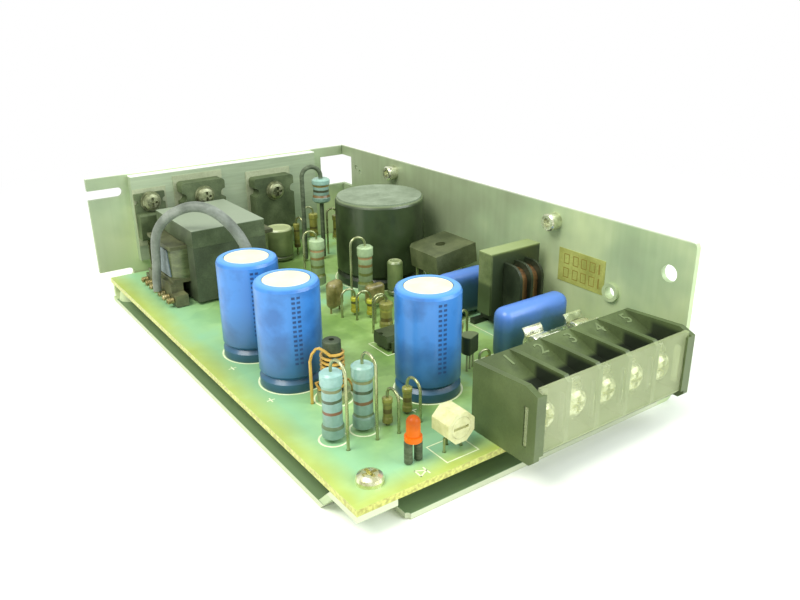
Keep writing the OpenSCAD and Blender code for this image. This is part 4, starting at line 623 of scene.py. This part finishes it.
def addRod(shape, centre, diameter, length, segments, turn=Matrix()):
    # a capped round bar about a point, upright unless it is turned
    return bmesh.ops.create_cone(shape, cap_ends=True, segments=segments, radius1=diameter / 2,
                                 radius2=diameter / 2, depth=length,
                                 matrix=Matrix.Translation(centre) @ turn)["verts"]


def sharpEdges(edges):
    # the rims of a part, where its faces meet steeply
    return [edge for edge in edges if edge.calc_face_angle(0) > math.radians(60)]


def easeEdges(shape, edges, width, segments):
    bmesh.ops.bevel(shape, geom=edges, offset=width, offset_type="OFFSET", segments=segments, profile=0.5,
                    affect="EDGES", material=-1)


def faceOut(shape, smoothSides=False):
    # the faces point outwards, and those with four corners may be shaded smooth
    bmesh.ops.recalc_face_normals(shape, faces=shape.faces)
    if smoothSides:
        for face in shape.faces:
            face.smooth = len(face.verts) == 4


alongX = Matrix.Rotation(math.pi / 2, 4, "Y")

# Ink on the board: rings round the tall parts, boxes round the rest, a plus beside each output
# capacitor and a diode mark by the lamp. Marks are drawn at a share of the line's width.
inkLook = dict(lineMm=0.45, markShare=0.7, liftMm=0.03, ringGapMm=0.5, boxGapMm=0.9, markMm=2.2, plusMm=1.8,
               plussed=("output_capacitor_1", "output_capacitor_2", "output_capacitor_3"),
               ringed=("output_capacitor_1", "output_capacitor_2", "output_capacitor_3", "bulk_sleeve",
                       "rod_seat", "power_resistor_1", "power_resistor_2"),
               boxed=("trimmer_body", "bridge_rectifier", "line_film_capacitor", "rear_film_capacitor",
                      "choke_bobbin", "optocoupler"))


def inkLine(shape, start, end, width):
    # a flat bar that lies on the board from one point to another
    run = end - start
    turn = Matrix.Rotation(math.atan2(run.y, run.x), 4, "Z")
    addPlate(shape, (start + end) / 2, run.length + width, width, turn)


def inkRing(shape, centre, radius, width):
    # a short radial edge spun all the way round
    verts = [shape.verts.new(centre + Vector((r, 0, 0))) for r in (radius, radius + width)]
    edge = shape.edges.new(verts)
    bmesh.ops.spin(shape, geom=verts + [edge], cent=centre, axis=(0, 0, 1), angle=math.tau, steps=64,
                   use_merge=True)


def boardInk():
    shape = bmesh.new()
    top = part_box("circuit_board")[1].z + inkLook["liftMm"] * mm
    width = inkLook["lineMm"] * mm
    thin = width * inkLook["markShare"]
    for name in inkLook["ringed"]:
        low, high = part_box(name)
        centre = middleOf(name)
        centre.z = top
        inkRing(shape, centre, (high.x - low.x) / 2 + inkLook["ringGapMm"] * mm, width)
    margin = inkLook["boxGapMm"] * 2 * mm
    for name in inkLook["boxed"]:
        low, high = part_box(name)
        centre = middleOf(name)
        centre.z = top
        openPlate(shape, addPlate(shape, centre, high.x - low.x + margin, high.y - low.y + margin), width)
    arm = inkLook["plusMm"] / 2 * mm
    across, along = Vector((arm, 0, 0)), Vector((0, arm, 0))
    for name in inkLook["plussed"]:
        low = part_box(name)[0]
        spot = Vector((low.x - arm * 2, low.y + arm, top))
        inkLine(shape, spot - across, spot + across, thin)
        for side in (-1, 1):
            inkLine(shape, spot + along * side, spot + Vector((0, side * thin, 0)), thin)
    # the diode mark: a triangle, and a bar at its tip
    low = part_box("indicator_led")[0]
    half = Vector((0, inkLook["markMm"] / 2 * mm, 0))
    foot = Vector((low.x, low.y, top)) - half * 2
    tip = foot + Vector((inkLook["markMm"] * mm, 0, 0))
    for start, end in ((foot + half, tip), (foot - half, tip), (foot + half, foot - half),
                       (tip + half, tip - half)):
        inkLine(shape, start, end, thin)
    faceOut(shape)
    addPiece("board_ink", shape, "paleEpoxyInk")


boardInk()
print("ink on the board")

# Two columns of plain dashes down each output capacitor, on the side towards the front corner.
dashLook = dict(columnsDeg=(-101, -110), count=15, widthDeg=6, tallMm=0.6, stepMm=1.2, topMm=2.0, liftMm=0.04)


def capacitorDashes():
    shape = bmesh.new()
    sleeveLow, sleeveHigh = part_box("capacitor_sleeves")
    # the first capacitor is the one that reaches the sleeves' left side
    radius = middleOf("output_capacitor_1").x - sleeveLow.x + dashLook["liftMm"] * mm
    tall = Vector((0, 0, dashLook["tallMm"] * mm))
    for name in ("output_capacitor_1", "output_capacitor_2", "output_capacitor_3"):
        centre = middleOf(name)
        for column in dashLook["columnsDeg"]:
            angle = math.radians(column)
            for i in range(dashLook["count"]):
                z = sleeveHigh.z - (dashLook["topMm"] + dashLook["stepMm"] * i) * mm
                start = Vector((centre.x + radius * math.cos(angle), centre.y + radius * math.sin(angle), z))
                verts = [shape.verts.new(start), shape.verts.new(start - tall)]
                edge = shape.edges.new(verts)
                bmesh.ops.spin(shape, geom=verts + [edge], cent=centre, axis=(0, 0, 1),
                               angle=math.radians(dashLook["widthDeg"]), steps=3)
    faceOut(shape)
    addPiece("capacitor_dashes", shape, "darkInk")


capacitorDashes()
print("dashes on the capacitors")

# Film capacitors: a wound block dipped in epoxy, so every edge runs round, on two straight legs that
# reach a little way into it.
dipLook = dict(cornerMm=2.7, deepest=0.46, legMm=0.7, legInMm=1.2, blocks={
    "line_film_capacitor": dict(name="line_film_dip", pitchMm=20, lowMm=(2.4, 0.7, 3.4),
                                highMm=(-1.2, -1.1, -1.2)),
    "rear_film_capacitor": dict(name="rear_film_dip", pitchMm=11, lowMm=(0, 0, 3.4), highMm=(0, 0, 0))})


def filmDip(node, look):
    low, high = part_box(node)
    bottom, top = low + Vector(look["lowMm"]) * mm, high + Vector(look["highMm"]) * mm
    size = top - bottom
    shape = bmesh.new()
    bmesh.ops.create_cube(shape, size=1,
                          matrix=Matrix.Translation((bottom + top) / 2) @ Matrix.Diagonal((*size, 1)))
    easeEdges(shape, shape.edges[:], min(dipLook["cornerMm"] * mm, size.y * dipLook["deepest"]), 7)
    for face in shape.faces:
        face.smooth = True
    legIn = dipLook["legInMm"] * mm
    for side in (-0.5, 0.5):
        foot = Vector(((low.x + high.x) / 2 + side * look["pitchMm"] * mm, (bottom.y + top.y) / 2,
                       (low.z + bottom.z + legIn) / 2))
        addRod(shape, foot, dipLook["legMm"] * mm, bottom.z - low.z + legIn, 12)
    faceOut(shape)
    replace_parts(addPiece(look["name"], shape, "dippedBlueEpoxy"), node)


for node, look in dipLook["blocks"].items():
    filmDip(node, look)
print("film capacitors")

# The fuse: a glass tube in two end caps, above the middle of its solid.
fuseLook = dict(raiseMm=1.6, shiftMm=0.4, capMm=5.2, capLongMm=5.4, tubeMm=4.6, edgeMm=0.35)


def fusePart(shape, start, end, diameterMm):
    # a round bar along the fuse, from one x to another, with its rims eased
    axis = middleOf("fuse_glass")
    centre = Vector(((start + end) / 2, axis.y, axis.z + fuseLook["raiseMm"] * mm))
    verts = addRod(shape, centre, diameterMm * mm, end - start, 40, alongX)
    edges = dict.fromkeys(edge for vert in verts for edge in vert.link_edges)
    easeEdges(shape, sharpEdges(edges), fuseLook["edgeMm"] * mm, 3)


def glassFuse():
    left, right = (corner.x + fuseLook["shiftMm"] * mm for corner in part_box("fuse_caps"))
    capLong = fuseLook["capLongMm"] * mm
    ends, tube = bmesh.new(), bmesh.new()
    fusePart(ends, left, left + capLong, fuseLook["capMm"])
    fusePart(ends, right - capLong, right, fuseLook["capMm"])
    fusePart(tube, left + capLong / 2, right - capLong / 2, fuseLook["tubeMm"])
    faceOut(ends, smoothSides=True)
    faceOut(tube, smoothSides=True)
    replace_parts(addPiece("fuse_ends", ends, "nickelPlate"), "fuse_caps")
    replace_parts(addPiece("fuse_tube", tube, "clearGlass"), "fuse_glass")


# Fuse clips: springy nickel strip bent into a cup, pinched above the fuse and flared out at the lips.
# Neck and lips are places from the fuse's axis, across and up.
clipLook = dict(wideMm=6.3, thickMm=0.4, cupMm=2.85, cupStepDeg=15, cupFromDeg=30, neckMm=(2.3, 2.1),
                lipMm=((2.6, 2.7), (3.0, 3.2), (3.5, 3.5)), legMm=1.0, legPitchMm=3.6, legInMm=0.5,
                edgeMm=0.09, outMm=(1.2, 1.9))


def fuseClips():
    low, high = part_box("fuse_clips")
    axis = middleOf("fuse_glass") + Vector((0, 0, fuseLook["raiseMm"] * mm))
    wide, cup = clipLook["wideMm"] * mm, clipLook["cupMm"] * mm
    side = [(y * mm, z * mm) for y, z in (*reversed(clipLook["lipMm"]), clipLook["neckMm"])]
    for degrees in range(clipLook["cupFromDeg"], -90, -clipLook["cupStepDeg"]):
        side.append((cup * math.cos(math.radians(degrees)), cup * math.sin(math.radians(degrees))))
    profile = side + [(0, -cup)] + [(-y, z) for y, z in reversed(side)]
    legTop = axis.z - cup + clipLook["legInMm"] * mm
    shape = bmesh.new()
    for start in (low.x - clipLook["outMm"][0] * mm, high.x + clipLook["outMm"][1] * mm - wide):
        strip = bmesh.new()
        rows = [[strip.verts.new((x, axis.y + y, axis.z + z)) for x in (start, start + wide)]
                for y, z in profile]
        for near, far in zip(rows, rows[1:]):
            strip.faces.new((near[0], near[1], far[1], far[0]))
        faceOut(strip)
        bmesh.ops.solidify(strip, geom=strip.faces[:], thickness=clipLook["thickMm"] * mm)
        easeEdges(strip, sharpEdges(strip.edges), clipLook["edgeMm"] * mm, 2)
        for leg in (-0.5, 0.5):
            foot = Vector((start + wide / 2, axis.y + leg * clipLook["legPitchMm"] * mm,
                           (low.z + legTop) / 2))
            addRod(strip, foot, clipLook["legMm"] * mm, legTop - low.z, 16)
        holder = bpy.data.meshes.new("clipStrip")
        strip.to_mesh(holder)
        strip.free()
        shape.from_mesh(holder)
        bpy.data.meshes.remove(holder)
    faceOut(shape)
    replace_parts(addPiece("fuse_springs", shape, "nickelPlate"), "fuse_clips")


glassFuse()
fuseClips()
print("fuse and its clips")

# The mains capacitor's fibre disc: it lies over the sleeve's shoulder, nearly as wide as the can.
discLook = dict(insideMm=0.7, sunkMm=0.55, proudMm=0.45, edgeMm=0.18)


def wideDisc():
    low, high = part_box("bulk_sleeve")
    centre = middleOf("bulk_sleeve")
    centre.z = high.z + (discLook["proudMm"] - discLook["sunkMm"]) / 2 * mm
    shape = bmesh.new()
    addRod(shape, centre, high.x - low.x - discLook["insideMm"] * 2 * mm,
           (discLook["sunkMm"] + discLook["proudMm"]) * mm, 96)
    easeEdges(shape, sharpEdges(shape.edges), discLook["edgeMm"] * mm, 3)
    faceOut(shape)
    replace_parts(addPiece("bulk_top_disc", shape, "vulcanisedFibre"), "bulk_disc")


wideDisc()
print("wide disc")

# The transformer's sleeved lead: out of a wound pin, over the core and down to the board. The route is
# listed, in the unit's own frame. It starts thinner and fills out over its first points.
leadLook = dict(diameterMm=3.3, startShare=0.78, startPoints=12, routeMm=[
    (-40.5, 51.9, 11.6), (-40.4, 51.9, 15.1), (-39.8, 51.6, 19.1), (-39.7, 51.3, 22.8), (-39.7, 50.7, 26.6),
    (-39.5, 49.4, 30.6), (-38.3, 46.7, 34.5), (-36.1, 44.2, 37.2), (-33.5, 41.4, 39.2), (-30.7, 38.8, 40.2),
    (-27.9, 35.8, 39.9), (-25.3, 33.8, 38.1), (-23.1, 32.2, 35.6), (-21.3, 30.4, 32.6), (-19.9, 28.9, 29.3),
    (-18.9, 28.0, 25.4), (-18.3, 27.6, 21.3), (-18.0, 27.7, 17.0), (-17.9, 27.9, 12.6), (-17.9, 27.9, 8.2)])


def sleevedLead():
    path = bpy.data.curves.new("leadPath", "CURVE")
    path.dimensions = "3D"
    path.bevel_depth = leadLook["diameterMm"] / 2 * mm
    path.bevel_resolution = 6
    path.use_fill_caps = True
    spline = path.splines.new("NURBS")
    spline.points.add(len(leadLook["routeMm"]) - 1)
    least = leadLook["startShare"]
    for i, (point, place) in enumerate(zip(spline.points, leadLook["routeMm"])):
        point.co = (place[0] * mm, place[1] * mm, place[2] * mm, 1)
        point.radius = least + (1 - least) * min(1, i / leadLook["startPoints"])
    spline.use_endpoint_u = True
    spline.order_u = 4
    spline.resolution_u = 5
    holder = bpy.data.objects.new("leadPath", path)
    mesh = bpy.data.meshes.new_from_object(holder)
    shape = bmesh.new()
    shape.from_mesh(mesh)
    bpy.data.objects.remove(holder)
    bpy.data.curves.remove(path)
    bpy.data.meshes.remove(mesh)
    faceOut(shape, smoothSides=True)
    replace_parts(addPiece("lead_tube", shape, "greyRubber"), "lead_sleeve")


sleevedLead()
print("sleeved lead")

# Raised numbers 1 to 5 on the sloping ledges behind the terminal screws.
numberLook = dict(sizeMm=5.0, raiseMm=0.25, backMm=4.6, slopeDeg=14.5, lowMm=0.75, weldMm=0.001)


def ledgeNumbers():
    shape = bmesh.new()
    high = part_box("terminal_block")[1]
    slope = Matrix.Rotation(math.radians(numberLook["slopeDeg"]), 4, "X")
    for number, opening in enumerate(frame["record"]["physics"]["openings"], 1):
        text = bpy.data.curves.new(f"number{number}", "FONT")
        text.body = str(number)
        text.size = numberLook["sizeMm"] * mm
        text.extrude = numberLook["raiseMm"] / 2 * mm
        text.align_x = "CENTER"
        text.align_y = "CENTER"
        holder = bpy.data.objects.new(f"number{number}", text)
        mesh = bpy.data.meshes.new_from_object(holder)
        middle = (opening["box_m"][0][0] + opening["box_m"][1][0]) / 2
        place = Vector((middle, high.y - numberLook["backMm"] * mm, high.z - numberLook["lowMm"] * mm))
        mesh.transform(Matrix.Translation(place) @ slope)
        shape.from_mesh(mesh)
        bpy.data.objects.remove(holder)
        bpy.data.curves.remove(text)
        bpy.data.meshes.remove(mesh)
    bmesh.ops.remove_doubles(shape, verts=shape.verts, dist=numberLook["weldMm"] * mm)
    addPiece("ledge_numbers", shape, "litFigureNylon")


ledgeNumbers()
print("numbers on the terminal block")

# Plain bars and open boxes in two rows on the yellow label, each bar a share of the label's length.
barLook = dict(rows=(0.29, 0.71), bars=((0.1, 0.13), (0.2, 0.32), (0.38, 0.5), (0.56, 0.68), (0.76, 0.88)),
               tallMm=2.9, lineMm=0.32, openFromMm=0.8, liftMm=0.03)


def labelBars():
    shape = bmesh.new()
    low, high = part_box("input_label")
    across, tall = high.y - low.y, high.z - low.z
    turn = Matrix.Rotation(-math.pi / 2, 4, "Y")
    for row in barLook["rows"]:
        for start, end in barLook["bars"]:
            wide = (end - start) * across
            centre = Vector((low.x - barLook["liftMm"] * mm, low.y + (start + end) / 2 * across,
                             low.z + row * tall))
            face = addPlate(shape, centre, barLook["tallMm"] * mm, wide, turn)
            if wide > barLook["openFromMm"] * mm:
                openPlate(shape, face, barLook["lineMm"] * mm)
    addPiece("label_bars", shape, "brownInk")


labelBars()
print("bars on the label")

# The fuse's element: one thin wire that sags from cap to cap.
elementLook = dict(diameterMm=0.25, sagMm=0.5, bends=8)


def fuseElement():
    shape = bmesh.new()
    low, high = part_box("fuse_glass")
    length = high.x - low.x
    centre = middleOf("fuse_glass") + Vector((0, 0, fuseLook["raiseMm"] * mm))
    addRod(shape, centre, elementLook["diameterMm"] * mm, length, 8, alongX)
    longEdges = [edge for edge in shape.edges if edge.calc_length() > length / 2]
    bmesh.ops.subdivide_edges(shape, edges=longEdges, cuts=elementLook["bends"])
    for vert in shape.verts:
        vert.co.z -= elementLook["sagMm"] * mm * math.sin(math.pi * (vert.co.x - low.x) / length)
    addPiece("fuse_element", shape, "tinnedCopper")


fuseElement()
print("fuse element")

# The camera stands off the front corner, looking a little down.
cameraLook = dict(placeMm=(-108.0, -177.2, 98.2), azimuthDeg=-35.12, elevationDeg=21.85, rollDeg=-0.6,
                  lensMm=34.49, sensorMm=36, clipMm=(10, 20000))
camera = bpy.data.objects.new("camera", bpy.data.cameras.new("camera"))
bpy.context.scene.collection.objects.link(camera)
bpy.context.scene.camera = camera
camera.data.sensor_width = cameraLook["sensorMm"]
camera.data.lens = cameraLook["lensMm"]
camera.data.clip_start, camera.data.clip_end = (reach * mm for reach in cameraLook["clipMm"])
azimuth, elevation, roll = (math.radians(cameraLook[turn])
                            for turn in ("azimuthDeg", "elevationDeg", "rollDeg"))
aim = Vector((-math.sin(azimuth) * math.cos(elevation), math.cos(azimuth) * math.cos(elevation),
              -math.sin(elevation)))
camera.location = Vector(cameraLook["placeMm"]) * mm
camera.rotation_mode = "QUATERNION"
camera.rotation_quaternion = aim.to_track_quat("-Z", "Y") @ Matrix.Rotation(roll, 3, "Z").to_quaternion()

# A pale sheet under the unit that runs out to plain white.
floorLook = dict(tones=[(0.3, "#f3f6f0"), (0.7, "#f8faf6")], toneMm=250, sizeMm=6000, dropMm=0.1,
                 whiteMm=(130, 300))
floorMat, floorShader, floorPlace = newMaterial("paleFloor", {"Roughness": 0.7, "Specular IOR Level": 0.2})
tone = addNode(floorMat, "TexNoise", {
    "Vector": floorPlace, "Scale": 1 / (floorLook["toneMm"] * mm), "Detail": 2}).outputs[0]
wire(floorMat, floorShader, addNode(floorMat, "ValToRGB", {"Fac": tone}, floorLook["tones"]).outputs[0])
away = addNode(floorMat, "VectorMath", {0: floorPlace}, operation="LENGTH").outputs["Value"]
fade = addNode(floorMat, "MapRange", {
    "Value": away, "From Min": floorLook["whiteMm"][0] * mm, "From Max": floorLook["whiteMm"][1] * mm},
               interpolation_type="SMOOTHSTEP").outputs[0]
seen = addNode(floorMat, "LightPath").outputs["Is Camera Ray"]
share = addNode(floorMat, "Math", {0: fade, 1: seen}, operation="MULTIPLY").outputs[0]
paper = addNode(floorMat, "Emission", {"Color": (1, 1, 1, 1), "Strength": 1.0})
both = addNode(floorMat, "MixShader", {0: share, 1: floorShader.outputs[0], 2: paper.outputs[0]})
floorMat.node_tree.links.new(both.outputs[0], floorMat.node_tree.get_output_node("ALL").inputs["Surface"])
sheet = bmesh.new()
addPlate(sheet, (0, 0, 0), floorLook["sizeMm"] * mm, floorLook["sizeMm"] * mm)
floorMesh = bpy.data.meshes.new("floor")
sheet.to_mesh(floorMesh)
sheet.free()
floorMesh.materials.append(floorMat)
floor = bpy.data.objects.new("floor", floorMesh)
floor.location.z = cadBox[0][2] - floorLook["dropMm"] * mm
bpy.context.scene.collection.objects.link(floor)

# Soft light from a white room, and two large lamps. The room is plain white where it is seen straight.
worldLook = dict(colour="#f4faf0", light=0.85)
world = bpy.data.worlds.new("world")
bpy.context.scene.world = world
world.use_nodes = True
world.node_tree.nodes.clear()
rays = addNode(world, "LightPath")
straight = addNode(world, "Math", {
    0: rays.outputs["Is Camera Ray"], 1: rays.outputs["Is Transmission Ray"]}, operation="MAXIMUM").outputs[0]
level = addNode(world, "MapRange", {
    "Value": straight, "To Min": worldLook["light"], "To Max": 1.0}).outputs[0]
hue = addNode(world, "Mix", {0: straight, 6: lin(worldLook["colour"]), 7: (1, 1, 1, 1)},
              data_type="RGBA").outputs[2]
sky = addNode(world, "Background", {"Color": hue, "Strength": level})
addNode(world, "OutputWorld", {"Surface": sky.outputs[0]})

lamps = {
    "keyLamp": dict(placeMm=(-320, -60, 460), sizeMm=300, watts=2.8, colour="#fffdf4"),
    "fillLamp": dict(placeMm=(260, -420, 300), sizeMm=420, watts=2.5, colour="#f6fbff"),
}
for name, look in lamps.items():
    light = bpy.data.lights.new(name, "AREA")
    light.size = look["sizeMm"] * mm
    light.energy = look["watts"]
    light.color = lin(look["colour"])[:3]
    lamp = bpy.data.objects.new(name, light)
    bpy.context.scene.collection.objects.link(lamp)
    lamp.location = Vector(look["placeMm"]) * mm
    lamp.rotation_mode = "QUATERNION"
    lamp.rotation_quaternion = (-lamp.location).to_track_quat("-Z", "Y")
bpy.context.scene.view_settings.view_transform = "Standard"
print("camera, floor and lamps placed")
